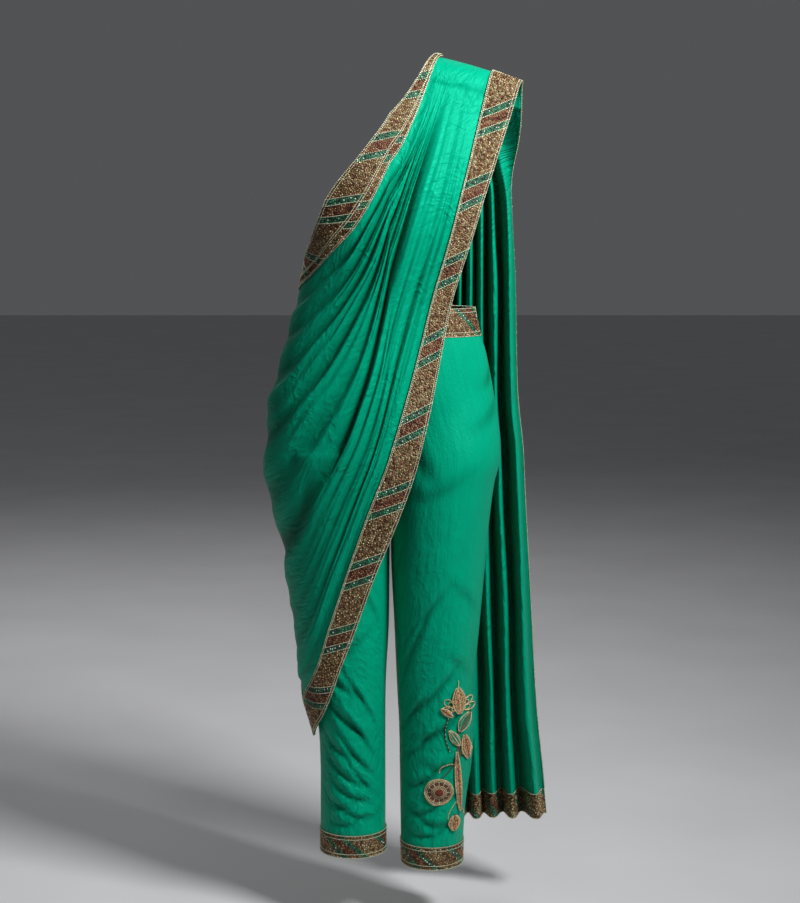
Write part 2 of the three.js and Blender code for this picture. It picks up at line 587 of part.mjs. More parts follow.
const palluRunTo = (z) => SHOULDER_RADIUS * QUARTER_TURN + (SHOULDER_TOP - SHOULDER_RADIUS - z);
const PALLU_RUN = [0.3, 14, 32, 52, 76, 110, 155, 215, 290, 380, 490, 620, 770, 930, 1090,
  palluRunTo(PALLU_HEM + PALLU_END_BAND)];

/** Pallu with its two side bands and its end band. */
function pallu() {
  const lines = palluLines();
  const lift = CREPE_WALL / 2 + SEAM_GAP + BAND_WALL / 2 + PALLU_BAND_SPARE;
  const endTop = palluRunTo(PALLU_HEM + PALLU_END_BAND) + SEAM_GAP;
  const endRun = [endTop, palluRunTo(PALLU_HEM + PALLU_END_BAND / 2), palluRunTo(PALLU_HEM)];
  const back = { face: 1, mitred: true };
  const band = { face: 1, thick: BAND_WALL, lift, mitred: true };
  const innerLines = lines.filter((s) => s <= PALLU_INNER_BAND);
  const outerLines = lines.filter((s) => s >= 1 - PALLU_OUTER_BAND);
  return [
    wall('pallu', FINISH.crepeBack, palluPoint, lines, PALLU_RUN, back),
    wall('pallu_inner_band', FINISH.beaded, palluPoint, innerLines, PALLU_RUN, band),
    wall('pallu_outer_band', FINISH.beaded, palluPoint, outerLines, PALLU_RUN, band),
    wall('pallu_end_band', FINISH.beaded, palluPoint, lines, endRun, { ...back, thick: BAND_WALL + 0.4 }),
  ];
}

/** Point of the left leg's front at a place across and a level. */
function onLeftLeg(x, z) {
  const outer = read(TROUSER_SECTIONS, 'z', 'leftOut', z);
  const inner = read(TROUSER_SECTIONS, 'z', 'leftIn', z);
  const across = (x - (outer + inner) / 2) / ((outer - inner) / 2);
  return trouserPoint(1, -1, Math.acos(Math.max(-0.98, Math.min(0.98, across))) / HALF_TURN, z);
}

/** A raised leaf of beadwork on the left leg, pointed at both ends. */
function leaf({ name, x, z, long, wide, lean, clear }) {
  const angle = THREE.MathUtils.degToRad(lean);
  const point = (across, along) => {
    const half = (wide / 2) * Math.sin((0.06 + 0.88 * along) * HALF_TURN) ** 0.8;
    const up = long * (along - 0.5);
    const side = half * across;
    const atX = x + side * Math.cos(angle) - up * Math.sin(angle);
    const atZ = z + side * Math.sin(angle) + up * Math.cos(angle);
    return onLeftLeg(atX, atZ);
  };
  const lift = CREPE_WALL / 2 + SEAM_GAP + MOTIF_WALL / 2 + clear;
  const across = [-1, -0.4, 0.4, 1];
  return wall(name, FINISH.motif, point, across, steps(0, 1, 6), { thick: MOTIF_WALL, lift, face: 1 });
}

/** Round beadwork medallion on the left leg. */
function medallion() {
  const { x, z, radius, clear } = MEDALLION;
  const point = (across, up) => {
    const square = Math.max(Math.abs(across), Math.abs(up), 1e-6);
    const length = Math.hypot(across, up) || 1;
    const reach = (radius * square) / length;
    return onLeftLeg(x + across * reach, z + up * reach);
  };
  const lift = CREPE_WALL / 2 + SEAM_GAP + MOTIF_WALL / 2 + clear;
  const grid = steps(-1, 1, 7);
  return wall('motif_medallion', FINISH.motif, point, grid, grid, { thick: MOTIF_WALL, lift, face: 1 });
}

const pantSaree = new THREE.Group();
const lines = clothLines(34);
const wholeRun = [...FRONT_RUN, ...BACK_RUN.slice(1)];
const lowerLines = lines.filter((s) => s >= LOWER_EDGE_FROM);
const underLines = lines.filter((s) => s >= UNDER_EDGE_FROM && s <= UNDER_EDGE_TO);
const upperLines = lines.filter((s) => s <= UPPER_EDGE_WIDE);
const bandLift = CREPE_WALL / 2 + SEAM_GAP + BAND_WALL / 2;
const overLift = bandLift + BAND_WALL + SEAM_GAP;
pantSaree.add(
  trouserPanel('trouser_front_left', 1, -1),
  trouserPanel('trouser_front_right', -1, -1),
  trouserPanel('trouser_back_left', 1, 1),
  trouserPanel('trouser_back_right', -1, 1),
  waistband(),
  cuff('cuff_left', 1),
  cuff('cuff_right', -1),
  wall('drape_front', FINISH.crepe, drapePoint, lines, FRONT_RUN, { face: -1 }),
  wall('drape_back', FINISH.crepe, drapePoint, clothLines(24), BACK_RUN, { face: -1 }),
  drapeBand('drape_lower_band', lowerLines, wholeRun, bandLift),
  drapeBand('drape_under_band', underLines, FRONT_RUN, bandLift),
  drapeBand('drape_upper_band', upperLines, wholeRun, overLift),
  ...pallu(),
  medallion(),
  ...MOTIF_LEAVES.map(leaf),
);

export default pantSaree;
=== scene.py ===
"""Dresses the pant saree: creased crepe, beaded borders, a bead motif, studio light and a camera."""

import logging
import math
from dataclasses import dataclass, field, replace
from enum import Enum
from typing import Callable, Mapping, Sequence

import bpy
import numpy as np
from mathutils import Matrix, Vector


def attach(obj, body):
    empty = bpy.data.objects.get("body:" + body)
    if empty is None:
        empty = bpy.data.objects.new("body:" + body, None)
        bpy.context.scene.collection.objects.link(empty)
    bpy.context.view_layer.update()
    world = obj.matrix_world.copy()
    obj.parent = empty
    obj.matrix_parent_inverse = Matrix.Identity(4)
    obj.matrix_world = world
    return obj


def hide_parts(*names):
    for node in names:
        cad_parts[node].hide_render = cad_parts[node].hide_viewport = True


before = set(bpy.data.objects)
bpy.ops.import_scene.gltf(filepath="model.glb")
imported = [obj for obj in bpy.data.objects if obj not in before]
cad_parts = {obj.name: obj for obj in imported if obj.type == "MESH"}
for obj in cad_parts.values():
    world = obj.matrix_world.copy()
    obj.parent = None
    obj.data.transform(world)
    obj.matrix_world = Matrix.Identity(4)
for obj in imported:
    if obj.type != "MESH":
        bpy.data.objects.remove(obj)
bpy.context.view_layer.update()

log = logging.getLogger("pant_saree")

MM = 0.001
MOST_BEADS_PER_M2 = 140000
ROOT = "root"
IMAGE_WIDTH_PX = 800
CREPE_WALL = 0.9
BAND_WALL = 1.9
SOLID_CREPE_WALL = 1.6
SOLID_BAND_WALL = 2.0
SEAM_GAP = 0.4
BAND_LIFT = SOLID_CREPE_WALL / 2 + SEAM_GAP + BAND_WALL / 2
OVER_LIFT = BAND_LIFT + BAND_WALL + SEAM_GAP
WAISTBAND_HEIGHT = 45.0
CUFF_HEIGHT = 38.0
HIP_BLEND_TOP = -120.0
CROTCH_LEVEL = -268.0
CENTRE_SEAM_HALF = 0.25
CENTRE_SEAM_SPREAD = 0.85
INSEAM_LEAST = CENTRE_SEAM_HALF + CENTRE_SEAM_SPREAD
HIP_CALM = 0.35
HIP_CALM_SPAN = (-250, -520)
SEAT_BEGINS = (-60, -150)
SEAT_ENDS = (-420, -300)
HEM = {"left": -931.0, "right": -911.0}
SHOULDER_TOP = 400.7
SHOULDER_RADIUS = 46.0
ROUND_RUN = SHOULDER_RADIUS * math.pi / 2
SHOULDER_NECK_X = 84.0
SHOULDER_FALL = 0.22
SHOULDER_CURVE = 0.00066
SHOULDER_FADE = 260.0
DRAPE_CLEARANCE = 4.0
SEAT_CLEARANCE = 2.0
FOLD_SHARE = 1.25
CREASE_SHARE = 1.75
CREASE_RIDGE = 0.45
CREASE_RIDGE_AWAY = 1.8
CREASE_RIDGE_SHARPNESS = 0.7
# FOLD_DEEPEST, CREASE_DEEPEST and PLEAT_DEEPEST: depths at which the painted fold shade is full
FOLD_DEEPEST = 13.0
CREASE_DEEPEST = 8.0
PLEAT_DEEPEST = 22.0
FOLD_RIDGE = 4.5
BACK_SEAM_START = 0.86
UPPER_EDGE_WIDE = 0.05
UNDER_EDGE_FROM = 0.03
UNDER_EDGE_TO = 0.07
LOWER_EDGE_FROM = 0.93
SIDE_SEAM_RUN = 0.59
SIDE_SEAM_GAP = 0.0008
SHOULDER_RUN = (0.0004, 0.07)
PALLU_ROUND = 330.0
PALLU_HEM = -900.0
PALLU_HEM_TILT = 14.0
PALLU_TILT_FROM = -200.0
PALLU_TILT_OVER = (0.35, 1)
PALLU_SWAY = 3.2
PALLU_UNEVEN = 0.16
PLEAT_SHARPNESS = 0.05
PALLU_END_BAND = 43.0
PALLU_OPENS_AT = 340.0
PALLU_FULL_AT = 60.0
PALLU_INNER_BAND = 0.045
PALLU_OUTER_BAND = 0.07
STRIPE_CREEP = 0.028
STRIPE_CREEP_SPAN = (0.86, 1.2)
SEAM_SHARE = 0.0008
CORD_LIFT = 0.5
CORD_RADIUS = 0.85
CORD_STITCH = 3.3
CORD_STRETCH = 2.2

Array = np.ndarray
Surface = Callable[[Array, Array], Array]


def rows(names: str, *lines: Sequence[float]) -> list[dict[str, float]]:
    """Turns lines of numbers into rows with named columns."""
    return [dict(zip(names.split(), line)) for line in lines]


TROUSER_ROWS = rows(
    "z seat front back left_out left_in right_out right_in",
    (0, 138, 88, 82, 138, 1.1, 138, 1.1),
    (-36, 145, 91, 88, 145, 1.1, 145, 1.1),
    (-72, 156, 95, 97, 156, 1.1, 156, 1.1),
    (-137, 169, 99, 113, 169, 1.1, 169, 1.1),
    (-190, 178, 100, 121, 178, 1.1, 178, 1.1),
    (-245, 181, 99, 121, 181, 1.1, 181, 1.1),
    (-290, 173, 97, 113, 171, 1.2, 173, 1.2),
    (-353, 163, 92, 98, 163, 1.4, 164, 1.4),
    (-419, 157, 86, 88, 157, 1.8, 157, 1.8),
    (-525, 148, 78, 72, 148, 7, 146, 3),
    (-620, 141, 70, 72, 140, 11, 132, 8),
    (-700, 139, 65, 76, 140, 15, 120, 9),
    (-760, 136, 62, 72, 136, 16, 117, 9),
    (-830, 126, 59, 66, 126, 17, 117, 9),
    (-890, 122, 57, 63, 122, 18, 117, 9),
    (-935, 121, 57, 63, 121, 20, 117, 9),
)
DRAPE_ROWS = rows(
    "z middle right left front back",
    (354.7, 0, 165, 262, 46, 46),
    (315, 0, 160, 262, 61, 69),
    (270, 0, 156, 262, 80, 86),
    (220, 0, 152, 262, 97, 94),
    (175, 0, 148, 260, 107, 96),
    (130, 0, 140, 258, 110, 95),
    (80, 0, 134, 250, 107, 94),
    (12, 0, 152, 232, 102, 97),
    (-53, 0, 171, 222, 105, 109),
    (-103, 0, 184, 216, 111, 123),
    (-150, 0, 199, 212, 116, 134),
    (-207, 0, 203, 210, 119, 139),
    (-250, 0, 208, 206, 119, 138),
    (-303, -4, 198, 202, 115, 130),
    (-372, -12, 173, 196, 108, 120),
    (-464, -25, 144, 190, 98, 108),
    (-554, -36, 122, 184, 91, 100),
    (-634, -46, 102, 178, 84, 93),
    (-722, -54, 70, 170, 76, 86),
)
CLOTH_LINES = rows(
    "s shoulder_x chest_x chest_z midriff_x midriff_z hip_x hip_z side_z back_z seam_x seam_z",
    (0, 79, 14, 323, -41, 250, -98, 175, 82, 40, 104, -3),
    (0.07, 84, 38, 300, -3, 224, -54, 131, 30, -14, 104, -7),
    (0.2, 92, 47, 282, -5, 172, -72, 48, -52, -80, 103, -12),
    (0.38, 103, 42, 251, -8, 108, -80, -44, -214, -152, 102, -19),
    (0.55, 115, 50, 220, -8, 14, -63, -176, -398, -216, 101, -25),
    (0.75, 139, 84, 186, 22, -24, -28, -224, -560, -286, 100, -32),
    (0.93, 166, 99, 130, 32, -121, -50, -368, -655, -346, 100, -39),
    (1, 213, 125, 101, 62, -166, -26, -432, -714, -380, 99, -42),
)
STATIONS = np.array([0, 0.14, 0.28, 0.42, 0.49, 0.535, 0.56, 0.8, 1.0])
SIDE_APPROACH = (0.5, 0.84)
DRAPE_FOLDS = rows(
    "s wide deep start end",
    (0.115, 0.035, 4.5, 0.2, 0.95),
    (0.2, 0.042, 8, 0.12, 0.9),
    (0.28, 0.036, 9, 0.2, 0.93),
    (0.335, 0.026, 4, 0.3, 0.72),
    (0.385, 0.036, 10, 0.06, 0.92),
    (0.47, 0.036, 8, 0.06, 0.7),
    (0.55, 0.042, 13, 0.04, 0.86),
    (0.625, 0.032, 4, 0.22, 0.62),
    (0.69, 0.036, 5, 0.3, 0.8),
    (0.765, 0.036, 6, 0.14, 0.84),
    (0.83, 0.03, 3, 0.1, 0.5),
    (0.885, 0.034, 3.5, 0.3, 0.7),
)
FOLD_FADE = 0.12
FREE_ACROSS = ((0.1, 0.16), (0.92, 0.86))
FREE_ALONG = ((0.02, 0.14), (1, 0.86))
SIDE_CALM = 0.6
SIDE_CALM_SPAN = ((0.47, 0.545), (0.68, 0.59))
# Lesser creases between the folds: where each starts and ends on the cloth, its half width and depth
DRAPE_CREASES = rows(
    "s1 t1 s2 t2 wide deep",
    (0.1, 0.34, 0.135, 0.6, 9, 1.8),
    (0.15, 0.2, 0.17, 0.52, 8, 2.2),
    (0.165, 0.45, 0.15, 0.72, 10, 2.0),
    (0.235, 0.16, 0.24, 0.44, 8, 2.6),
    (0.24, 0.4, 0.255, 0.66, 9, 2.2),
    (0.31, 0.3, 0.3, 0.58, 8, 2.4),
    (0.35, 0.12, 0.345, 0.36, 7, 2.2),
    (0.36, 0.44, 0.33, 0.68, 9, 2.0),
    (0.42, 0.1, 0.43, 0.5, 9, 3.0),
    (0.435, 0.36, 0.42, 0.6, 9, 2.4),
    (0.5, 0.05, 0.51, 0.42, 8, 3.2),
    (0.515, 0.36, 0.5, 0.6, 10, 2.6),
    (0.585, 0.1, 0.59, 0.34, 9, 2.0),
    (0.6, 0.38, 0.575, 0.58, 9, 2.2),
    (0.655, 0.16, 0.66, 0.44, 9, 2.4),
    (0.66, 0.42, 0.645, 0.62, 9, 2.2),
    (0.72, 0.06, 0.73, 0.3, 10, 1.6),
    (0.73, 0.34, 0.72, 0.6, 9, 2.4),
    (0.8, 0.08, 0.8, 0.26, 10, 1.4),
    (0.8, 0.3, 0.81, 0.56, 9, 2.0),
    (0.86, 0.2, 0.855, 0.44, 9, 1.6),
    (0.86, 0.42, 0.87, 0.62, 9, 2.0),
    (0.905, 0.1, 0.9, 0.3, 8, 1.4),
    (0.25, 0.6, 0.24, 0.9, 10, 2.6),
    (0.42, 0.62, 0.43, 0.92, 11, 3.0),
    (0.52, 0.62, 0.5, 0.9, 10, 2.4),
    (0.62, 0.64, 0.64, 0.92, 11, 2.6),
    (0.73, 0.66, 0.72, 0.92, 10, 2.2),
    (0.84, 0.64, 0.85, 0.9, 10, 2.4),
    (0.17, 0.66, 0.19, 0.9, 9, 2.0),
)
DRAPE_SPAN_S = 860.0
DRAPE_SPAN_T = 1500.0
TROUSER_CREASES = rows(
    "leg turn around wide z rise bow reach deep",
    (1, -1, 0.15, 0.12, -112, -16, 4, 13, 3.2),
    (1, -1, 0.2, 0.16, -168, -22, 0, 15, 2.6),
    (1, -1, 0.72, 0.13, -235, 34, 0, 16, 3.4),
    (1, -1, 0.55, 0.18, -300, -20, 10, 12, 1.6),
    (1, -1, 0.62, 0.16, -505, -44, 0, 9, 2.6),
    (1, -1, 0.7, 0.14, -552, -52, 6, 8, 3.2),
    (1, -1, 0.78, 0.12, -596, -48, 0, 8, 2.6),
    (1, -1, 0.55, 0.2, -640, -40, 10, 9, 3.4),
    (1, -1, 0.72, 0.14, -668, -34, 8, 7, 3.0),
    (1, -1, 0.5, 0.22, -700, -26, 14, 8, 3.2),
    (1, -1, 0.68, 0.16, -728, -24, 12, 7, 2.8),
    (1, -1, 0.42, 0.2, -758, -12, 16, 8, 2.6),
    (1, -1, 0.64, 0.18, -786, -16, 16, 7, 3.2),
    (1, -1, 0.4, 0.2, -812, 4, 18, 7, 2.8),
    (1, -1, 0.6, 0.2, -836, -8, 18, 6, 3.0),
    (1, -1, 0.45, 0.24, -858, 2, 20, 6, 3.2),
    (1, -1, 0.58, 0.26, -876, -2, 16, 5, 2.6),
    (1, -1, 0.3, 0.14, -585, 18, 0, 9, 1.8),
    (1, -1, 0.28, 0.12, -470, 22, 0, 10, 1.8),
    (1, -1, 0.85, 0.08, -430, -40, 0, 8, 2.0),
    (-1, -1, 0.5, 0.2, -560, 30, 6, 9, 2.4),
    (-1, -1, 0.4, 0.18, -612, -30, 8, 8, 2.8),
    (-1, -1, 0.62, 0.14, -642, -44, 0, 8, 3.2),
    (-1, -1, 0.45, 0.2, -676, -36, 8, 8, 3.4),
    (-1, -1, 0.6, 0.16, -704, -42, 4, 7, 3.0),
    (-1, -1, 0.32, 0.16, -722, -26, 10, 7, 2.8),
    (-1, -1, 0.55, 0.18, -742, -38, 8, 7, 3.4),
    (-1, -1, 0.4, 0.2, -768, -30, 10, 7, 3.2),
    (-1, -1, 0.62, 0.16, -784, -30, 8, 6, 2.8),
    (-1, -1, 0.48, 0.22, -806, -20, 12, 6, 3.2),
    (-1, -1, 0.35, 0.18, -824, -8, 14, 6, 2.6),
    (-1, -1, 0.56, 0.22, -842, -10, 14, 5, 3.0),
    (-1, -1, 0.42, 0.2, -856, 4, 12, 5, 2.4),
    (-1, -1, 0.7, 0.1, -480, -40, 0, 9, 2.4),
    (-1, -1, 0.6, 0.14, -420, -36, 0, 10, 2.2),
    (1, 1, 0.31, 0.2, -128, -17, 6, 13, 2.5),
    (1, 1, 0.65, 0.2, -208, 23, 10, 13, 3.4),
    (1, 1, 0.73, 0.16, -264, 37, 10, 11, 2.9),
    (1, 1, 0.63, 0.16, -303, 34, 8, 10, 3.5),
    (1, 1, 0.57, 0.18, -358, -16, 8, 11, 2.2),
    (1, 1, 0.52, 0.2, -466, -29, 8, 10, 2.3),
    (1, 1, 0.59, 0.2, -509, -29, 10, 8, 3.6),
    (1, 1, 0.41, 0.22, -540, 15, 10, 8, 2.7),
    (1, 1, 0.65, 0.18, -587, -26, 10, 8, 3.0),
    (1, 1, 0.47, 0.2, -644, -18, 12, 8, 2.1),
    (1, 1, 0.56, 0.18, -693, -25, 10, 8, 3.0),
    (1, 1, 0.46, 0.2, -739, -16, 12, 7, 2.7),
    (1, 1, 0.65, 0.18, -772, -21, 14, 7, 2.4),
    (1, 1, 0.44, 0.22, -813, 7, 14, 6, 2.4),
    (1, 1, 0.53, 0.22, -829, -15, 16, 6, 3.0),
    (1, 1, 0.5, 0.24, -869, 1, 16, 5, 2.5),
    (-1, 1, 0.28, 0.2, -129, -27, 6, 13, 2.4),
    (-1, 1, 0.64, 0.2, -223, 27, 10, 13, 3.6),
    (-1, 1, 0.65, 0.16, -260, 40, 10, 11, 3.3),
    (-1, 1, 0.66, 0.16, -301, 32, 8, 10, 3.0),
    (-1, 1, 0.61, 0.18, -347, -25, 8, 11, 2.5),
    (-1, 1, 0.51, 0.2, -473, -32, 8, 10, 2.7),
    (-1, 1, 0.59, 0.2, -507, -26, 10, 8, 3.4),
    (-1, 1, 0.49, 0.22, -546, 25, 10, 8, 2.9),
    (-1, 1, 0.61, 0.18, -576, -16, 10, 8, 2.6),
    (-1, 1, 0.41, 0.2, -647, -28, 12, 8, 2.3),
    (-1, 1, 0.59, 0.18, -695, -28, 10, 8, 2.6),
    (-1, 1, 0.47, 0.2, -742, -23, 12, 7, 3.1),
    (-1, 1, 0.58, 0.18, -782, -15, 14, 7, 2.5),
    (-1, 1, 0.47, 0.22, -802, 5, 14, 6, 2.9),
    (-1, 1, 0.51, 0.22, -830, -1, 16, 6, 2.9),
    (-1, 1, 0.45, 0.24, -860, 10, 16, 5, 2.4),
)
PALLU_ROWS = rows(
    "z inner outer back",
    (354.7, 84, 214, 50),
    (300, 84, 206, 84),
    (228, 82, 201, 108),
    (137, 78, 206, 124),
    (40, 74, 212, 138),
    (-64, 72, 215, 154),
    (-162, 70, 219, 170),
    (-248, 68, 228, 174),
    (-330, 66, 232, 172),
    (-489, 62, 241, 166),
    (-700, 56, 253, 160),
    (-800, 54, 263, 158),
    (-925, 52, 275, 158),
)
PLEATS = rows(
    "share deep",
    (0.12, 15),
    (0.13, 19),
    (0.12, 18),
    (0.15, 21),
    (0.13, 18),
    (0.16, 22),
    (0.19, 24),
)
MEDALLION_X, MEDALLION_Z, MEDALLION_RADIUS = 80.0, -797.0, 22.0
MOTIF_ROWS = rows(
    "x z long wide lean clear",
    (111, -643, 44, 20, 4, 1.1),
    (92, -661, 22, 10, 52, 0.5),
    (121, -681, 32, 19, -28, 0.3),
    (105, -706, 30, 13, 30, 0.1),
    (124, -724, 42, 15, 8, 0.3),
    (111, -782, 104, 10, 3, 0.4),
    (104, -853, 26, 18, 0, 1.1),
)
MOTIF_NAMES = ("crown_leaf", "side_leaf", "paisley", "green_leaf", "feather", "stem", "bud")
# Petals that grow from one root: its place and level, their length and width, directions and nested sizes
PETAL_ROWS = (
    (111, -656, 27, 11, (-2, 34, 146, 182), (1.0, 0.7, 0.4)),
    (118, -735, 17, 7, (20, 50, 80), (1.0, 0.6)),
)


def ease(start: float, end: float, at: Array) -> Array:
    """Smooth step from 0 at start to 1 at end."""
    share = np.clip((at - start) / (end - start), 0, 1)
    return share * share * (3 - 2 * share)


def smooth_between(keys: Array, values: Array, at: Array) -> Array:
    """Reads values at places between ascending keys, on a smooth curve.

    Args:
        keys: Ascending key of each row.
        values: Value of each row, along the last axis; other axes match `at`.
        at: Places to read.

    Returns:
        The values there.
    """
    last = len(keys) - 1
    index = np.arange(last + 1)
    before, after = np.maximum(index - 1, 0), np.minimum(index + 1, last)
    slopes = (values[..., after] - values[..., before]) / (keys[after] - keys[before])
    row = np.clip(np.searchsorted(keys, at, side="right") - 1, 0, last - 1)

    def pick(source: Array, k: Array) -> Array:
        """Takes each place's own row."""
        return source[k] if source.ndim == 1 else np.take_along_axis(source, k, axis=-1)

    span = keys[row + 1] - keys[row]
    t = np.clip((at - keys[row]) / span, 0, 1)
    rest = 1 - t
    return (
        pick(values, row) * (1 + 2 * t) * rest * rest
        + pick(slopes, row) * span * t * rest * rest
        + pick(values, row + 1) * t * t * (3 - 2 * t)
        - pick(slopes, row + 1) * span * t * t * rest
    )


class Table:
    """Rows with named columns, read on a smooth curve along one of them."""

    def __init__(self, key: str, table: list[dict[str, float]]) -> None:
        """Sorts the rows by their key column.

        Args:
            key: Name of the key column.
            table: The rows.
        """
        ordered = sorted(table, key=lambda row: row[key])
        self.keys = np.array([row[key] for row in ordered], float)
        self.columns = {name: np.array([row[name] for row in ordered], float) for name in ordered[0]}

    def read(self, column: str, at: Array) -> Array:
        """Reads a column at values of the key."""
        return smooth_between(self.keys, self.columns[column], np.asarray(at, float))


TROUSERS = Table("z", TROUSER_ROWS)
DRAPE = Table("z", DRAPE_ROWS)
LINES = Table("s", CLOTH_LINES)
PALLU = Table("z", PALLU_ROWS)


class Unevenness:
    """Soft random unevenness over two lengths, the same in each run."""

    CELLS = 64

    def __init__(self, seed: int) -> None:
        """Fills the lattice."""
        self.lattice = np.random.default_rng(seed).uniform(-1, 1, (self.CELLS, self.CELLS))

    def at(self, x: Array, y: Array) -> Array:
        """Reads the lattice at places counted in its cells.

        Args:
            x: Place across.
            y: Place along.

        Returns:
            Heights from -1 to 1.
        """
        x, y = np.broadcast_arrays(np.asarray(x, float), np.asarray(y, float))
        i, j = np.floor(x).astype(int), np.floor(y).astype(int)
        u, v = x - i, y - j
        u, v = u * u * (3 - 2 * u), v * v * (3 - 2 * v)
        grid, last = self.lattice, self.CELLS
        i, j, after_i, after_j = i % last, j % last, (i + 1) % last, (j + 1) % last
        low = grid[i, j] * (1 - u) + grid[after_i, j] * u
        high = grid[i, after_j] * (1 - u) + grid[after_i, after_j] * u
        return low * (1 - v) + high * v


CRINKLE = Unevenness(11)
RIPPLE = Unevenness(23)


def trouser_hollow(side: int, turn: int, around: Array, z: Array) -> Array:
    """Depth of the worn creases of one trouser panel.

    Args:
        side: 1 on the left leg and -1 on the right.
        turn: -1 in front and 1 behind.
        around: Share from the side seam to the inseam.
        z: Level.

    Returns:
        Depths in millimetres.
    """
    depth = np.zeros(np.broadcast(around, z).shape)
    for row in TROUSER_CREASES:
        if row["leg"] == side and row["turn"] == turn:
            aside = (around - row["around"]) / row["wide"]
            line = row["z"] + row["rise"] * aside + row["bow"] * aside * aside
            off = (z - line) / row["reach"]
            ridge = CREASE_RIDGE * np.exp(-((off - CREASE_RIDGE_AWAY) ** 2) * CREASE_RIDGE_SHARPNESS)
            trough = np.exp(-off * off) - ridge
            depth = depth + row["deep"] * CREASE_SHARE * trough * np.exp(-aside * aside)
    return depth


def trouser_point(side: int, turn: int, around: Array, z: Array, crinkled: bool = True) -> Array:
    """Points of the trousers.

    Args:
        side: 1 for the left leg and -1 for the right.
        turn: -1 in front and 1 behind.
        around: Share from the side seam to the inseam.
        z: Level.
        crinkled: Whether the cloth's fine unevenness shows.

    Returns:
        The points, along a last axis of three.
    """
    leg = "left" if side > 0 else "right"
    depth = TROUSERS.read("front" if turn < 0 else "back", z) - trouser_hollow(side, turn, around, z)
    if crinkled:
        edge = ease(0, 0.06, around) * ease(1, 0.94, around)
        fine = CRINKLE.at(around * 34 + z / 90, z / 17) * 0.7 + RIPPLE.at(around * 13 + z / 60, z / 34) * 1.1
        below_hip = HIP_CALM + (1 - HIP_CALM) * ease(*HIP_CALM_SPAN, z)
        depth = depth + fine * edge * below_hip
    leg_share = ease(HIP_BLEND_TOP, CROTCH_LEVEL, z)
    seat = TROUSERS.read("seat", z)
    outer = TROUSERS.read(f"{leg}_out", z)
    inner = np.maximum(TROUSERS.read(f"{leg}_in", z), INSEAM_LEAST)
    seam = CENTRE_SEAM_HALF + CENTRE_SEAM_SPREAD * np.sqrt(leg_share)
    seat_x = seam + (seat - seam) * np.cos(around * math.pi / 2)
    leg_x = (outer + inner) / 2 + (outer - inner) / 2 * np.cos(around * math.pi)
    x = side * np.maximum(seat_x + (leg_x - seat_x) * leg_share, seam)
    bend = np.sin(around * math.pi / 2)
    y = turn * depth * (bend + (np.sin(around * math.pi) - bend) * leg_share)
    return np.stack(np.broadcast_arrays(x, y, z + 0 * x), axis=-1)


def ring_point(side: int, share: Array, z: Array, proud: float) -> Array:
    """Points of the closed section of the seat (side 0) or of a leg, a little proud of the cloth.

    Args:
        side: 0 for the seat, 1 for the left leg and -1 for the right.
        share: Share round the section, from its left side.
        z: Level.
        proud: How far the points stand off the cloth.

    Returns:
        The points, along a last axis of three.
    """
    front = share < 0.5
    depth = np.where(front, TROUSERS.read("front", z), TROUSERS.read("back", z)) + proud
    if side == 0:
        angle = share * 2 * math.pi
        x, y = (TROUSERS.read("seat", z) + proud) * np.cos(angle), -depth * np.sin(angle)
    else:
        leg = "left" if side > 0 else "right"
        outer = TROUSERS.read(f"{leg}_out", z) + proud
        inner = TROUSERS.read(f"{leg}_in", z) - proud
        angle = np.where(front, share * 2, 2 - share * 2) * math.pi
        x = side * ((outer + inner) / 2 + (outer - inner) / 2 * np.cos(angle))
        y = np.where(front, -1, 1) * depth * np.sin(angle)
    return np.stack(np.broadcast_arrays(x, y, z + 0 * x), axis=-1)


def shoulder_drop(x: Array) -> Array:
    """How far the line of the shoulder has fallen at a place across it."""
    away = x - SHOULDER_NECK_X
    return SHOULDER_FALL * away + SHOULDER_CURVE * away * np.abs(away)


def level_after(run: Array) -> Array:
    """Level after a run down from the shoulder's top, before the shoulder's slope.

    Args:
        run: Run down from the shoulder's top.

    Returns:
        The levels.
    """
    over = SHOULDER_TOP - SHOULDER_RADIUS * (1 - np.cos(np.minimum(run, ROUND_RUN) / SHOULDER_RADIUS))
    return np.where(run < ROUND_RUN, over, SHOULDER_TOP - SHOULDER_RADIUS - (run - ROUND_RUN))


def shoulder_share(level: Array) -> Array:
    """How much of the shoulder's slope shows at a level."""
    return 1 - ease(SHOULDER_TOP, SHOULDER_TOP - SHOULDER_FADE, level)


def run_to(x: Array, z: Array) -> Array:
    """Run down from the shoulder's top that reaches a level at a place across.

    Args:
        x: Place across.
        z: Level.

    Returns:
        The runs.
    """
    level = z
    for _ in range(6):
        level = z + shoulder_drop(x) * shoulder_share(level)
    fallen = SHOULDER_TOP - level
    over = SHOULDER_RADIUS * np.arccos(np.clip(1 - fallen / SHOULDER_RADIUS, -1, 1))
    return np.where(fallen < SHOULDER_RADIUS, over, ROUND_RUN + fallen - SHOULDER_RADIUS)


def depth_after(table: Table, column: str, run: Array) -> Array:
    """Depth of a form's front or back after a run down from the shoulder."""
    over = SHOULDER_RADIUS * np.sin(np.minimum(run, ROUND_RUN) / SHOULDER_RADIUS)
    return np.where(run < ROUND_RUN, over, table.read(column, level_after(run)))


def angle_at(x: Array, z: Array, behind: bool) -> Array:
    """Angle on the drape's form of a place across it.

    Args:
        x: Place across.
        z: Level.
        behind: Whether the place is on the back.

    Returns:
        The angles.
    """
    across = x - DRAPE.read("middle", z)
    wide = np.where(across > 0, DRAPE.read("left", z), DRAPE.read("right", z))
    angle = np.arccos(np.clip(across / wide, -1, 1))
    return 2 * math.pi - angle if behind else angle


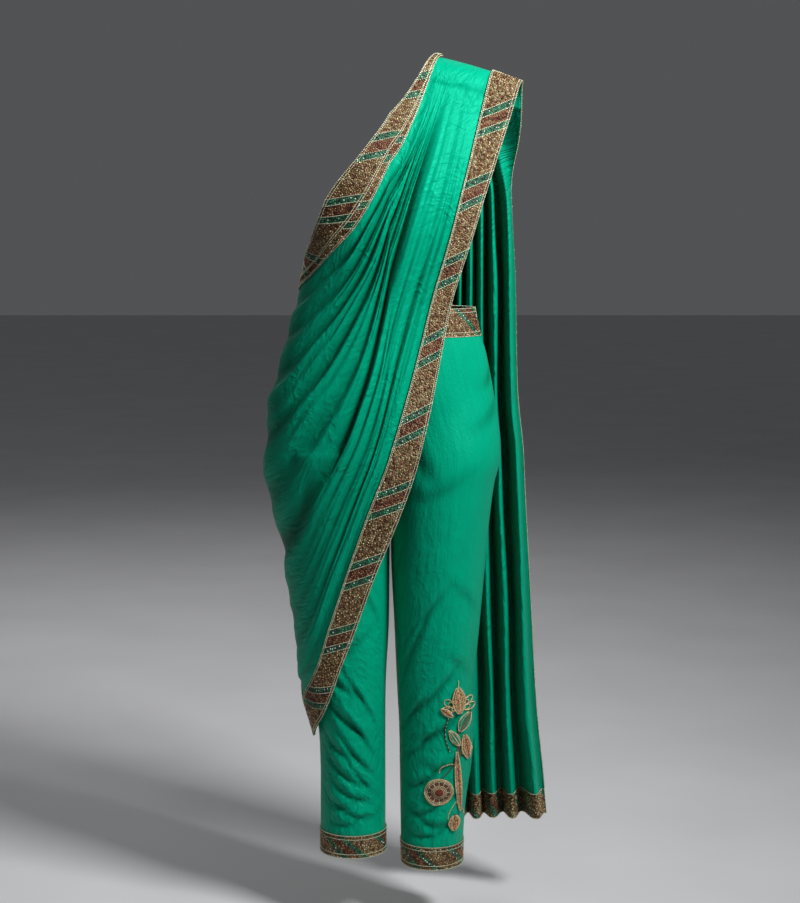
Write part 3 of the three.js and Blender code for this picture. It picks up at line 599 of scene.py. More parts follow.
def form_point(angle: Array, run: Array) -> Array:
    """Points of the form that the drape hangs on.

    Args:
        angle: Angle round the form, from its left side by the front.
        run: Run down from the shoulder's top.

    Returns:
        The points, along a last axis of three.
    """
    level = level_after(run)
    across, turn = np.cos(angle), np.sin(angle)
    wide = np.where(across > 0, DRAPE.read("left", level), DRAPE.read("right", level))
    x = DRAPE.read("middle", level) + wide * across
    front, back = depth_after(DRAPE, "front", run), depth_after(DRAPE, "back", run)
    y = -np.where(turn > 0, front, back) * turn
    return np.stack([x, y, level - shoulder_drop(x) * shoulder_share(level)], axis=-1)


def line_stations(s: Array) -> tuple[Array, Array]:
    """The angle and the run at each station that a line of the cloth passes.

    Args:
        s: Line of the cloth, as a share of its width.

    Returns:
        The angles and the runs, with the stations along the last axis.
    """
    at = {name: LINES.read(name, s) for name in LINES.columns}
    side_x = DRAPE.read("middle", at["side_z"]) - DRAPE.read("right", at["side_z"])
    places = [(at[f"{name}_x"], at[f"{name}_z"]) for name in ("chest", "midriff", "hip")]
    for share in SIDE_APPROACH:
        x = at["hip_x"] + (side_x - at["hip_x"]) * share
        places.append((x, at["hip_z"] + (at["side_z"] - at["hip_z"]) * share))
    top = np.full_like(s, SHOULDER_TOP - SHOULDER_RADIUS)
    angles = [angle_at(at["shoulder_x"], top, False)] + [angle_at(x, z, False) for x, z in places]
    runs = [np.zeros_like(s)] + [run_to(x, z) for x, z in places]
    angles += [np.full_like(s, math.pi), np.full_like(s, 1.5 * math.pi)]
    angles.append(angle_at(at["seam_x"], at["seam_z"], True))
    zero = np.zeros_like(s)
    runs += [run_to(zero, at["side_z"]), run_to(zero, at["back_z"]), run_to(at["seam_x"], at["seam_z"])]
    return np.stack(angles, -1), np.stack(runs, -1)


def keep_outside(points: Array, where: Array, middle: Array, wide: Array, deep: Array) -> None:
    """Moves points out of an upright oval section if they lie inside it.

    Args:
        points: Points, along a last axis of three.
        where: Which points may be moved.
        middle: Middle of the section across.
        wide: Half width of the section.
        deep: Depth of the section.
    """
    reach = np.hypot((points[..., 0] - middle) / wide, points[..., 1] / deep)
    inside = where & (reach < 1) & (reach > 1e-6)
    scale = np.where(inside, 1 / np.maximum(reach, 1e-6), 1)
    points[..., 0] = middle + (points[..., 0] - middle) * scale
    points[..., 1] *= scale


def clear_trousers(points: Array) -> None:
    """Keeps points of the drape clear of the trousers under it.

    Args:
        points: Points, along a last axis of three.
    """
    z = points[..., 2]
    on_seat = ease(*SEAT_BEGINS, z) * ease(*SEAT_ENDS, z)
    proud = DRAPE_CLEARANCE + SEAT_CLEARANCE * on_seat
    deep = np.where(points[..., 1] < 0, TROUSERS.read("front", z), TROUSERS.read("back", z)) + proud
    keep_outside(points, (z < 8) & (z > CROTCH_LEVEL - 40), 0 * z, TROUSERS.read("seat", z) + proud, deep)
    for side, leg in ((-1, "right"), (1, "left")):
        outer, inner = TROUSERS.read(f"{leg}_out", z), TROUSERS.read(f"{leg}_in", z)
        half = (outer - inner) / 2 + DRAPE_CLEARANCE
        keep_outside(points, z < CROTCH_LEVEL + 40, side * (outer + inner) / 2, half, deep)


def drape_hollow(s: Array, t: Array) -> Array:
    """Depth of the drape's folds and creases.

    Args:
        s: Line of the cloth, as a share of its width.
        t: Share of the drape's run.

    Returns:
        Depths in millimetres.
    """
    depth = np.zeros(np.broadcast(s, t).shape)
    for row in DRAPE_FOLDS:
        off = np.minimum(np.abs(s - row["s"]) / row["wide"], 1)
        shown = ease(row["start"], row["start"] + FOLD_FADE, t) * ease(row["end"], row["end"] - FOLD_FADE, t)
        depth = depth + row["deep"] * shown * np.cos(off * math.pi / 2) ** 2
    x, y = s * DRAPE_SPAN_S, t * DRAPE_SPAN_T
    for row in DRAPE_CREASES:
        x1, y1 = row["s1"] * DRAPE_SPAN_S, row["t1"] * DRAPE_SPAN_T
        dx, dy = row["s2"] * DRAPE_SPAN_S - x1, row["t2"] * DRAPE_SPAN_T - y1
        along = ((x - x1) * dx + (y - y1) * dy) / (dx * dx + dy * dy)
        near = np.clip(along, 0, 1)
        off = np.hypot(x - x1 - dx * near, (y - y1 - dy * near) * 0.5) / row["wide"]
        depth = depth + row["deep"] * np.exp(-off * off) * np.sin(math.pi * (0.1 + 0.8 * near))
    return depth


def drape_point(s: Array, t: Array) -> Array:
    """Points of the drape at lines of its cloth and shares of its run.

    Args:
        s: Line of the cloth, as a share of its width.
        t: Share of the drape's run.

    Returns:
        The points, along a last axis of three.
    """
    s, t = np.broadcast_arrays(np.asarray(s, float), np.asarray(t, float))
    angles, runs = line_stations(s)
    angle = smooth_between(STATIONS, angles, t[..., None])[..., 0]
    run = np.maximum(smooth_between(STATIONS, runs, t[..., None])[..., 0], 0)
    points = form_point(angle, run)
    outwards = points[..., :2] - np.stack([DRAPE.read("middle", points[..., 2]), 0 * t], -1)
    outwards /= np.maximum(np.linalg.norm(outwards, axis=-1, keepdims=True), 1e-9)
    across, along = FREE_ACROSS, FREE_ALONG
    free = ease(*across[0], s) * ease(*across[1], s) * ease(*along[0], t) * ease(*along[1], t)
    fine = CRINKLE.at(s * 120 + t * 3, t * 26) * 0.6 + RIPPLE.at(s * 46, t * 14) * 1.2
    at_side = 1 - SIDE_CALM * ease(*SIDE_CALM_SPAN[0], t) * ease(*SIDE_CALM_SPAN[1], t)
    sunk = drape_hollow(s, t) * FOLD_SHARE * at_side * ease(0.0, 0.1, t)
    in_or_out = sunk - (fine + FOLD_RIDGE * at_side) * free
    points[..., :2] -= outwards * in_or_out[..., None]
    clear_trousers(points)
    sewn = ease(BACK_SEAM_START, 1, t)[..., None]
    seat = TROUSERS.read("seat", points[..., 2])
    share = 1 - np.arccos(np.clip(points[..., 0] / seat, 0, 1)) / (2 * math.pi)
    on_band = ring_point(0, share, points[..., 2], (SOLID_CREPE_WALL + SOLID_BAND_WALL) / 2 + SEAM_GAP)
    return points + (on_band - points) * sewn


def pleat_wave(s: Array) -> Array:
    """Depth of the pleats at shares of the pallu's width.

    Args:
        s: Shares of the pallu's width.

    Returns:
        Depths in millimetres, inwards and outwards.
    """
    ends = np.cumsum([row["share"] for row in PLEATS])
    starts = ends - [row["share"] for row in PLEATS]
    row = np.clip(np.searchsorted(ends, s, side="left"), 0, len(PLEATS) - 1)
    share = np.array([p["share"] for p in PLEATS])[row]
    deep = np.array([p["deep"] for p in PLEATS])[row]
    turn = (s - starts[row]) / share * 2 * math.pi
    return deep * (np.cos(turn) - PLEAT_SHARPNESS * np.cos(3 * turn))


def pallu_point(s: Array, run: Array) -> Array:
    """Points of the pleated end at shares of its width and runs down from the shoulder.

    Args:
        s: Shares of the pallu's width.
        run: Run down from the shoulder's top.

    Returns:
        The points, along a last axis of three.
    """
    s, run = np.broadcast_arrays(np.asarray(s, float), np.asarray(run, float))
    level = level_after(run)
    level = level + PALLU_HEM_TILT * ease(PALLU_TILT_FROM, PALLU_HEM, level) * ease(*PALLU_TILT_OVER, s)
    inner, outer = PALLU.read("inner", level), PALLU.read("outer", level)
    opened = 1 - ease(PALLU_OPENS_AT - 160, PALLU_OPENS_AT + 20, level)
    inside = ease(0, 0.1, s) * ease(1, 0.9, s) * ease(SHOULDER_TOP - 60, 100, level)
    sway = RIPPLE.at(s * 9, level / 170) * PALLU_SWAY * inside
    spread = inner + (outer - inner) * s + sway
    shoulder_x = LINES.read("shoulder_x", s)
    x = shoulder_x + (spread - shoulder_x) * opened
    on_shoulder = np.sin(angle_at(x, np.full_like(x, SHOULDER_TOP - SHOULDER_RADIUS), False))
    rounding = on_shoulder + (np.sqrt(1 - (x / PALLU_ROUND) ** 2) - on_shoulder) * opened
    fullness = 1 - ease(PALLU_FULL_AT, SHOULDER_TOP - 20, level)
    uneven = 1 + PALLU_UNEVEN * RIPPLE.at(s * 7 + 20, level / 210) * inside
    fine = (CRINKLE.at(s * 60, level / 46) * 0.7 + RIPPLE.at(s * 30, level / 90) * 0.9) * inside
    y = depth_after(PALLU, "back", run) * rounding + pleat_wave(s) * fullness * uneven + fine
    return np.stack([x, y, level - shoulder_drop(x) * shoulder_share(level)], axis=-1)


def pallu_run_to(z: float) -> float:
    """Run down the back that reaches a level below the shoulder's round."""
    return ROUND_RUN + SHOULDER_TOP - SHOULDER_RADIUS - z


class Signal:
    """A shader socket that takes part in Python expressions."""

    def __init__(self, graph: "Graph", socket: bpy.types.NodeSocket) -> None:
        """Wraps a socket of a graph."""
        self.graph, self.socket = graph, socket

    def maths(self, operation: str, *values: "Signal | float") -> "Signal":
        """Adds a Math node for an operation on values."""
        node = self.graph.node("ShaderNodeMath", {"operation": operation}, dict(enumerate(values)))
        return Signal(self.graph, node.outputs[0])

    def __add__(self, other: "Signal | float") -> "Signal":
        """Sum."""
        return self.maths("ADD", self, other)

    def __sub__(self, other: "Signal | float") -> "Signal":
        """Difference."""
        return self.maths("SUBTRACT", self, other)

    def __rsub__(self, other: float) -> "Signal":
        """Difference from a number."""
        return self.maths("SUBTRACT", other, self)

    def __mul__(self, other: "Signal | float") -> "Signal":
        """Product."""
        return self.maths("MULTIPLY", self, other)

    __radd__ = __add__
    __rmul__ = __mul__

    def size(self) -> "Signal":
        """Value without its sign."""
        return self.maths("ABSOLUTE", self)

    def below(self, limit: "Signal | float") -> "Signal":
        """1 where the value is below a limit."""
        return self.maths("LESS_THAN", self, limit)

    def least(self, other: "Signal | float") -> "Signal":
        """The lesser of two values."""
        return self.maths("MINIMUM", self, other)

    def wrapped(self, period: float) -> "Signal":
        """Value folded into half a period either side of zero."""
        return self.maths("WRAP", self, period / 2, -period / 2)


class Graph:
    """A material's node tree with short ways to add to it."""

    def __init__(self, name: str) -> None:
        """Starts an empty material.

        Args:
            name: Name of the material.
        """
        self.material = bpy.data.materials.new(name)
        self.material.use_nodes = True
        self.nodes = self.material.node_tree.nodes
        self.nodes.clear()

    def node(self, kind: str, settings: Mapping | None = None,
             inputs: Mapping | None = None) -> bpy.types.Node:
        """Adds a node.

        Args:
            kind: Type of the node.
            settings: Its settings; "stops" gives a ramp's places and colours.
            inputs: Values or links of its sockets, by name or number.

        Returns:
            The node.
        """
        node = self.nodes.new(kind)
        for name, value in (settings or {}).items():
            if name == "stops":
                ramp = node.color_ramp.elements
                while len(ramp) < len(value):
                    ramp.new(0.5)
                for element, (place, colour) in zip(ramp, value):
                    element.position, element.color = place, (*colour, 1)
            else:
                setattr(node, name, value)
        for name, value in (inputs or {}).items():
            if isinstance(value, Signal):
                self.material.node_tree.links.new(value.socket, node.inputs[name])
            else:
                node.inputs[name].default_value = value
        return node

    def signal(self, kind: str, settings: Mapping | None, inputs: Mapping | None,
               output: str | int) -> Signal:
        """Adds a node and returns one of its outputs."""
        return Signal(self, self.node(kind, settings, inputs).outputs[output])

    def lay(self) -> tuple[Signal, Signal, Signal]:
        """Place on the cloth: the vector, the length across and the length along, in metres.

        Returns:
            The vector and its first two parts.
        """
        vector = self.signal("ShaderNodeAttribute", {"attribute_name": "lay"}, None, "Vector")
        parts = self.node("ShaderNodeSeparateXYZ", None, {0: vector})
        return vector, Signal(self, parts.outputs[0]), Signal(self, parts.outputs[1])

    def stretched(self, vector: Signal, scale: tuple[float, float, float]) -> Signal:
        """A vector scaled along each axis."""
        return self.signal("ShaderNodeVectorMath", {"operation": "MULTIPLY"}, {0: vector, 1: scale}, 0)

    def noise(self, vector: Signal, scale: float, detail: float) -> Signal:
        """Noise at a scale."""
        inputs = {"Vector": vector, "Scale": scale, "Detail": detail}
        return self.signal("ShaderNodeTexNoise", None, inputs, "Fac")

    def ramp(self, value: Signal, *stops: tuple[float, tuple[float, float, float]]) -> Signal:
        """Colour of a value on a ramp."""
        return self.signal("ShaderNodeValToRGB", {"stops": stops}, {0: value}, 0)

    def blend(self, share: Signal, first: "Signal | tuple", second: "Signal | tuple") -> Signal:
        """Colour between two by a share.

        Args:
            share: Signal from 0 to 1.
            first: Colour at 0.
            second: Colour at 1.

        Returns:
            The colour.
        """
        colours = [c if isinstance(c, Signal) else (*c, 1) for c in (first, second)]
        node = self.node("ShaderNodeMix", {"data_type": "RGBA"}, {0: share, 6: colours[0], 7: colours[1]})
        return Signal(self, node.outputs[2])

    def bump(self, height: Signal, distance: float, strength: float) -> Signal:
        """Normal raised by a height."""
        inputs = {"Height": height, "Distance": distance, "Strength": strength}
        return self.signal("ShaderNodeBump", None, inputs, 0)

    def finish(self, sockets: Mapping) -> bpy.types.Material:
        """Ends in a principled shader with these sockets.

        Args:
            sockets: Value or signal of each named socket.

        Returns:
            The material.
        """
        shader = self.signal("ShaderNodeBsdfPrincipled", None, sockets, 0)
        self.node("ShaderNodeOutputMaterial", None, {0: shader})
        return self.material


@dataclass(frozen=True)
class CrepeFinish:
    """Soft green crepe with a satin face and fine crinkles along its fall, its colour darkened by painted
    shade in its folds and creases.
    """

    name: str
    # light is the crepe's own green; deep is the dark end of the ramp, reached mostly through painted shade
    # in folds and creases
    light: tuple[float, float, float] = (0.0, 0.315, 0.178)
    deep: tuple[float, float, float] = (0.0, 0.07, 0.032)
    streak_across: float = 120.0
    streak_along: float = 16.0
    crease_across: float = 48.0
    crease_along: float = 17.0
    crease_deep: float = 0.36
    relief: float = 0.003
    calmed: float = 0.0
    crinkle_scale: tuple[float, float, float] = (420, 170, 1)
    cloud_scale: tuple[float, float, float] = (7, 5, 1)
    drift_scale: tuple[float, float, float] = (9, 6, 1)

    def build(self) -> bpy.types.Material:
        """Builds the material.

        Returns:
            The material.
        """
        g = Graph(self.name)
        vector, across, along = g.lay()
        hollow = g.signal("ShaderNodeAttribute", {"attribute_name": "hollow"}, None, "Fac")
        streaks = g.noise(g.stretched(vector, (self.streak_across, self.streak_along, 1)), 1.0, 4)
        crinkle = g.noise(g.stretched(vector, self.crinkle_scale), 1.0, 3)
        cloud = g.noise(g.stretched(vector, self.cloud_scale), 1.0, 2)
        drift = g.noise(g.stretched(vector, self.drift_scale), 1.0, 2)
        bent = g.signal("ShaderNodeCombineXYZ", None, {0: across * self.crease_across + drift * 3.0,
                                                       1: along * self.crease_along + drift * 4.0}, 0)
        sharp = 1 - ((g.noise(bent, 1.0, 2) - 0.5).size() * 7).least(1.0)
        shown = 1 - (along * self.calmed).least(1.0)
        # Painted shade: the fold attribute darkens the colour towards deep in folds and creases; cloud and
        # streaks add the cloth's own random tone
        tone_and_fold_shade = hollow * 0.8 + cloud * 0.25 + streaks * 0.2 - 0.14
        colour = g.ramp(tone_and_fold_shade, (0.0, self.light), (0.95, self.deep))
        height = streaks * 0.8 + crinkle * 0.3 + sharp * shown * self.crease_deep
        sockets = {
            "Base Color": colour,
            "Roughness": crinkle * 0.16 + 0.4,
            "Normal": g.bump(height, self.relief, 0.8),
            "Specular IOR Level": 0.3,
            "Specular Tint": (0.04, 0.9, 0.62, 1),
            "Sheen Weight": 0.05,
            "Sheen Roughness": 0.4,
            "Sheen Tint": (0.02, 1.0, 0.7, 1),
        }
        return g.finish(sockets)


@dataclass(frozen=True)
class BorderFinish:
    """Dense gold beadwork with slanting green stripes in pairs and copper between them."""

    name: str
    slope: float = -0.87
    period: float = 0.127
    phase: float = 0.0
    pair: float = 0.0185
    stripe: float = 0.0062
    golds: tuple = ((0.2, 0.11, 0.035), (0.5, 0.34, 0.14), (0.86, 0.72, 0.42))
    coppers: tuple = ((0.14, 0.035, 0.018), (0.36, 0.13, 0.065), (0.62, 0.4, 0.2))
    greens: tuple = ((0.001, 0.04, 0.016), (0.003, 0.2, 0.085), (0.07, 0.46, 0.22))
    silver: tuple[float, float, float] = (0.82, 0.84, 0.76)
    bead_scale: float = 360.0
    copper_from: float = 0.7
    silver_share: float = 0.3
    silver_reach: float = 0.0028
    relief: float = 0.0012
    raised: bool = False

    def for_beads(self) -> "BorderFinish":
        """The finish of the beads that lie on the band."""
        return replace(self, name=f"{self.name}_beads", raised=True)

    def tones(self, g: Graph, tone: Signal, colours: tuple) -> Signal:
        """Colour of a bead by its own tone, or of the ground between the beads, a darker copy of the bead
        colours painted as the shade in the gaps.
        """
        # Painted shade: off the beads, the ground takes the bead colours at 0.3 of their brightness for the
        # shade between them
        shown = colours if self.raised else [tuple(c * 0.3 for c in colour) for colour in colours]
        return g.ramp(tone, (0.1, shown[0]), (0.5, shown[1]), (0.95, shown[2]))

    def build(self) -> bpy.types.Material:
        """Builds the material.

        Returns:
            The material.
        """
        g = Graph(self.name)
        vector, across, along = g.lay()
        place = (along + across * self.slope - self.phase).wrapped(self.period)
        off = (place.size() - self.pair).size()
        striped, between = off.below(self.stripe), place.size().below(self.pair)
        settings = {"voronoi_dimensions": "2D"}
        cells = g.node("ShaderNodeTexVoronoi", settings, {"Vector": vector, "Scale": self.bead_scale})
        distance = Signal(g, cells.outputs["Distance"])
        parts = g.node("ShaderNodeSeparateColor", None, {0: Signal(g, cells.outputs["Color"])})
        tone, kind = Signal(g, parts.outputs[0]), Signal(g, parts.outputs[1])
        reddish = 1 - kind.below(self.copper_from)
        field_colour = g.blend(between, g.blend(reddish, self.tones(g, tone, self.golds),
                                                self.tones(g, tone, self.coppers)),
                               self.tones(g, tone, self.coppers))
        colour = g.blend(striped, field_colour, self.tones(g, tone, self.greens))
        if self.raised:
            shining = kind.below(self.silver_share) * off.below(self.silver_reach)
            colour = g.blend(shining, colour, self.silver)
        sockets = {
            "Base Color": colour,
            "Roughness": tone * 0.2 + (0.24 if self.raised else 0.45),
            "Metallic": (1 - striped) * 0.5 + 0.1,
            "Normal": g.bump(1 - distance * 1.6, self.relief, 0.7),
            "Specular IOR Level": 0.55,
        }
        return g.finish(sockets)


@dataclass(frozen=True)
class BeadFinish:
    """Small glass or metal beads of one tone, a little uneven from bead to bead."""

    name: str
    dark: tuple[float, float, float]
    light: tuple[float, float, float]
    metallic: float = 0.6
    roughness: float = 0.26
    scale: float = 420.0
    blur: float = 0.2

    def build(self) -> bpy.types.Material:
        """Builds the material.

        Returns:
            The material.
        """
        g = Graph(self.name)
        place = g.signal("ShaderNodeTexCoord", None, None, "Object")
        tone = g.noise(place, self.scale, 2)
        sockets = {
            "Base Color": g.ramp(tone, (0.5 - self.blur, self.dark), (0.5 + self.blur, self.light)),
            "Roughness": tone * 0.2 + self.roughness,
            "Metallic": self.metallic,
            "Specular IOR Level": 0.6,
        }
        return g.finish(sockets)


class Finish(Enum):
    """The finishes of the garment."""

    # deep in each crepe finish is the colour of the painted shade in folds, creases and pleats
    CREPE = CrepeFinish("crepe_satin")
    CREPE_TROUSER = CrepeFinish("crepe_trouser", light=(0.0, 0.3, 0.168), crease_across=46.0,
                                crease_along=34.0, crease_deep=0.62, calmed=1.5)
    CREPE_PALLU = CrepeFinish("crepe_pallu", light=(0.0, 0.3, 0.17), deep=(0.0, 0.13, 0.066),
                              streak_across=130.0, streak_along=11.0,
                              crease_across=60.0, crease_along=12.0, crease_deep=0.6, relief=0.0036)
    BORDER = BorderFinish("border_beadwork", phase=-0.03)
    UPPER_BORDER = BorderFinish("upper_border_beadwork", slope=0.9, period=0.12, phase=-0.036)
    CUFF = BorderFinish("cuff_beadwork", slope=1.15, period=0.094, pair=0.017, stripe=0.0058)
    WAIST = BorderFinish("waistband_beadwork", slope=-1.0, period=0.16, pair=0.022)
    BORDER_BEADS = BORDER.for_beads()
    UPPER_BORDER_BEADS = UPPER_BORDER.for_beads()
    CUFF_BEADS = CUFF.for_beads()
    WAIST_BEADS = WAIST.for_beads()
    CORD = BeadFinish("edging_cord", (0.34, 0.33, 0.2), (0.72, 0.74, 0.55), 0.45, 0.3)
    GOLD_BEAD = BeadFinish("gold_beads", (0.46, 0.28, 0.1), (0.98, 0.84, 0.54), 0.45)
    RED_BEAD = BeadFinish("red_beads", (0.14, 0.012, 0.008), (0.42, 0.05, 0.03), 0.2)
    MOTIF_BEAD = BeadFinish("motif_beads", (0.14, 0.02, 0.012), (0.7, 0.46, 0.2), 0.4, 0.24, 480.0, 0.07)
    GREEN_BEAD = BeadFinish("green_beads", (0.004, 0.09, 0.045), (0.02, 0.3, 0.16), 0.3)
    DARK_BEAD = BeadFinish("dark_beads", (0.02, 0.012, 0.008), (0.12, 0.06, 0.03), 0.4)
    THREAD = BeadFinish("green_thread", (0.002, 0.12, 0.07), (0.006, 0.26, 0.15), 0.0, 0.6)

    def beads(self) -> "Finish":
        """The finish of the beads on a band of this finish."""
        return Finish[f"{self.name}_BEADS"]

    def material(self) -> bpy.types.Material:
        """The material, built once."""
        return bpy.data.materials.get(self.value.name) or self.value.build()


@dataclass
class Cloth:
    """A grid of points on a surface, with its lay in metres and the painted shade of its folds."""

    points: Array
    lay: Array
    hollow: Array
    tube: bool = False
    hollow_under: Array | None = None

    @classmethod
    def of(cls, surface: Surface, us: Array, vs: Array, tube: bool = False) -> "Cloth":
        """Samples a surface.

        Args:
            surface: Gives points in millimetres from u and v.
            us: Places across.
            vs: Places along.
            tube: Whether the last place across joins the first.

        Returns:
            The sampled cloth.
        """
        points = surface(us[:, None], vs[None, :])
        step_u = np.linalg.norm(np.diff(points, axis=0), axis=-1)
        step_v = np.linalg.norm(np.diff(points, axis=1), axis=-1)
        across = np.concatenate([np.zeros((1, len(vs))), np.cumsum(step_u, axis=0)])
        along = np.concatenate([[0], np.cumsum(step_v.mean(axis=0))])
        lay = np.stack([across, np.broadcast_to(along, across.shape), np.zeros_like(across)], -1) * MM
        return cls(points, lay, np.zeros(points.shape[:2]), tube)

    def as_strip(self) -> "Cloth":
        """The same cloth with its lay measured square to the middle of its length.

        Returns:
            The same points with the new lay.
        """
        middle = self.points[len(self.points) // 2]
        forward = np.gradient(middle, axis=0)
        forward /= np.maximum(np.linalg.norm(forward, axis=-1, keepdims=True), 1e-9)
        steps = np.linalg.norm(np.diff(middle, axis=0), axis=-1)
        run = np.concatenate([[0], np.cumsum(steps)])
        away = self.points - middle[None]
        ahead = (away * forward[None]).sum(-1)
        aside = np.linalg.norm(away - ahead[..., None] * forward[None], axis=-1)
        sign = np.where(np.arange(len(self.points)) < len(self.points) // 2, -1, 1)[:, None]
        lay = np.stack([aside * sign, run[None] + ahead, np.zeros_like(ahead)], -1) * MM
        return Cloth(self.points, lay, self.hollow, self.tube)

    def normals(self) -> Array:
        """Unit normals, u crossed with v.

        Returns:
            The normals, along a last axis of three.
        """
        if self.tube:
            along_u = np.roll(self.points, -1, axis=0) - np.roll(self.points, 1, axis=0)
        else:
            along_u = np.gradient(self.points, axis=0)
        raw = np.cross(along_u, np.gradient(self.points, axis=1))
        return raw / np.maximum(np.linalg.norm(raw, axis=-1, keepdims=True), 1e-12)

    def moved(self, distance: float) -> "Cloth":
        """The same cloth moved along its normals."""
        return Cloth(self.points + self.normals() * distance, self.lay, self.hollow, self.tube)


def fill_mesh(name: str, points: Array, faces: Array, lay: Array, hollow: Array) -> bpy.types.Mesh:
    """Makes a smooth mesh with its lay and its painted fold shade stored on its points.

    Args:
        name: Name of the piece.
        points: Points, along a last axis of three.
        faces: Corners of each face.
        lay: Place of each point on the cloth, in metres.
        hollow: Painted shade of the folds at each point, from 0 to 1.

    Returns:
        The mesh.
    """
    mesh = bpy.data.meshes.new(name)
    mesh.from_pydata((points * MM).tolist(), [], faces.tolist())
    mesh.attributes.new("lay", "FLOAT_VECTOR", "POINT").data.foreach_set("vector", lay.ravel())
    mesh.attributes.new("hollow", "FLOAT", "POINT").data.foreach_set("value", hollow.ravel())
    mesh.shade_smooth()
    mesh.set_sharp_from_angle(angle=math.radians(60))
    return mesh


def grid_faces(count_u: int, count_v: int, stride: int, wrap: int) -> Array:
    """Quads of a grid whose points are numbered along v first.

    Args:
        count_u: Faces across.
        count_v: Faces along.
        stride: Points along each line.
        wrap: Lines before the first comes again.

    Returns:
        Four corners for each face.
    """
    i, j = np.meshgrid(np.arange(count_u), np.arange(count_v), indexing="ij")
    after = (i + 1) % wrap
    here, there = i * stride + j, after * stride + j
    return np.stack([here, there, there + 1, here + 1], -1).reshape(-1, 4)


def wall_mesh(name: str, cloth: Cloth, thick: float) -> bpy.types.Mesh:
    """A closed wall round a cloth, half its thickness to each side.

    Args:
        name: Name of the piece.
        cloth: The cloth.
        thick: Thickness of the wall.

    Returns:
        The mesh.
    """
    count_u, count_v = cloth.points.shape[:2]
    total = count_u * count_v
    normals = cloth.normals()
    upper, lower = cloth.points + normals * thick / 2, cloth.points - normals * thick / 2
    cells_u = count_u if cloth.tube else count_u - 1
    faces = grid_faces(cells_u, count_v - 1, count_v, count_u)
    under = faces[:, ::-1] + total
    line = np.arange(cells_u) * count_v
    after = (np.arange(cells_u) + 1) % count_u * count_v
    last = count_v - 1
    low_rim = np.stack([after, line, line + total, after + total], -1)
    high_rim = np.stack([line, after, after + total, line + total], -1) + last
    parts = [faces, under, low_rim, high_rim]
    if not cloth.tube:
        j = np.arange(last)
        end = (count_u - 1) * count_v
        parts.append(np.stack([j, j + 1, j + 1 + total, j + total], -1))
        parts.append(np.stack([end + j + 1, end + j, end + j + total, end + j + 1 + total], -1))
    points = np.concatenate([upper.reshape(-1, 3), lower.reshape(-1, 3)])
    lay = np.concatenate([cloth.lay.reshape(-1, 3)] * 2)
    # Painted fold shade for the outer face and for the inner face.
    under_fold_shade = cloth.hollow if cloth.hollow_under is None else cloth.hollow_under
    hollow = np.concatenate([cloth.hollow.ravel(), under_fold_shade.ravel()])
    return fill_mesh(name, points, np.concatenate(parts), lay, hollow)


def open_mesh(name: str, cloth: Cloth) -> bpy.types.Mesh:
    """One open layer of a cloth, for beads to be set on.

    Args:
        name: Name of the piece.
        cloth: The cloth.

    Returns:
        The mesh.
    """
    count_u, count_v = cloth.points.shape[:2]
    faces = grid_faces(count_u if cloth.tube else count_u - 1, count_v - 1, count_v, count_u)
    return fill_mesh(name, cloth.points.reshape(-1, 3), faces, cloth.lay.reshape(-1, 3), cloth.hollow)


def placed(name: str, mesh: bpy.types.Mesh, finish: Finish | None = None) -> bpy.types.Object:
    """Puts a mesh in the scene at the origin, with a finish.

    Args:
        name: Name of the piece.
        mesh: Its mesh.
        finish: Its finish.

    Returns:
        The object.
    """
    piece = bpy.data.objects.new(name, mesh)
    bpy.context.scene.collection.objects.link(piece)
    if finish is not None:
        mesh.materials.append(finish.material())
    return piece


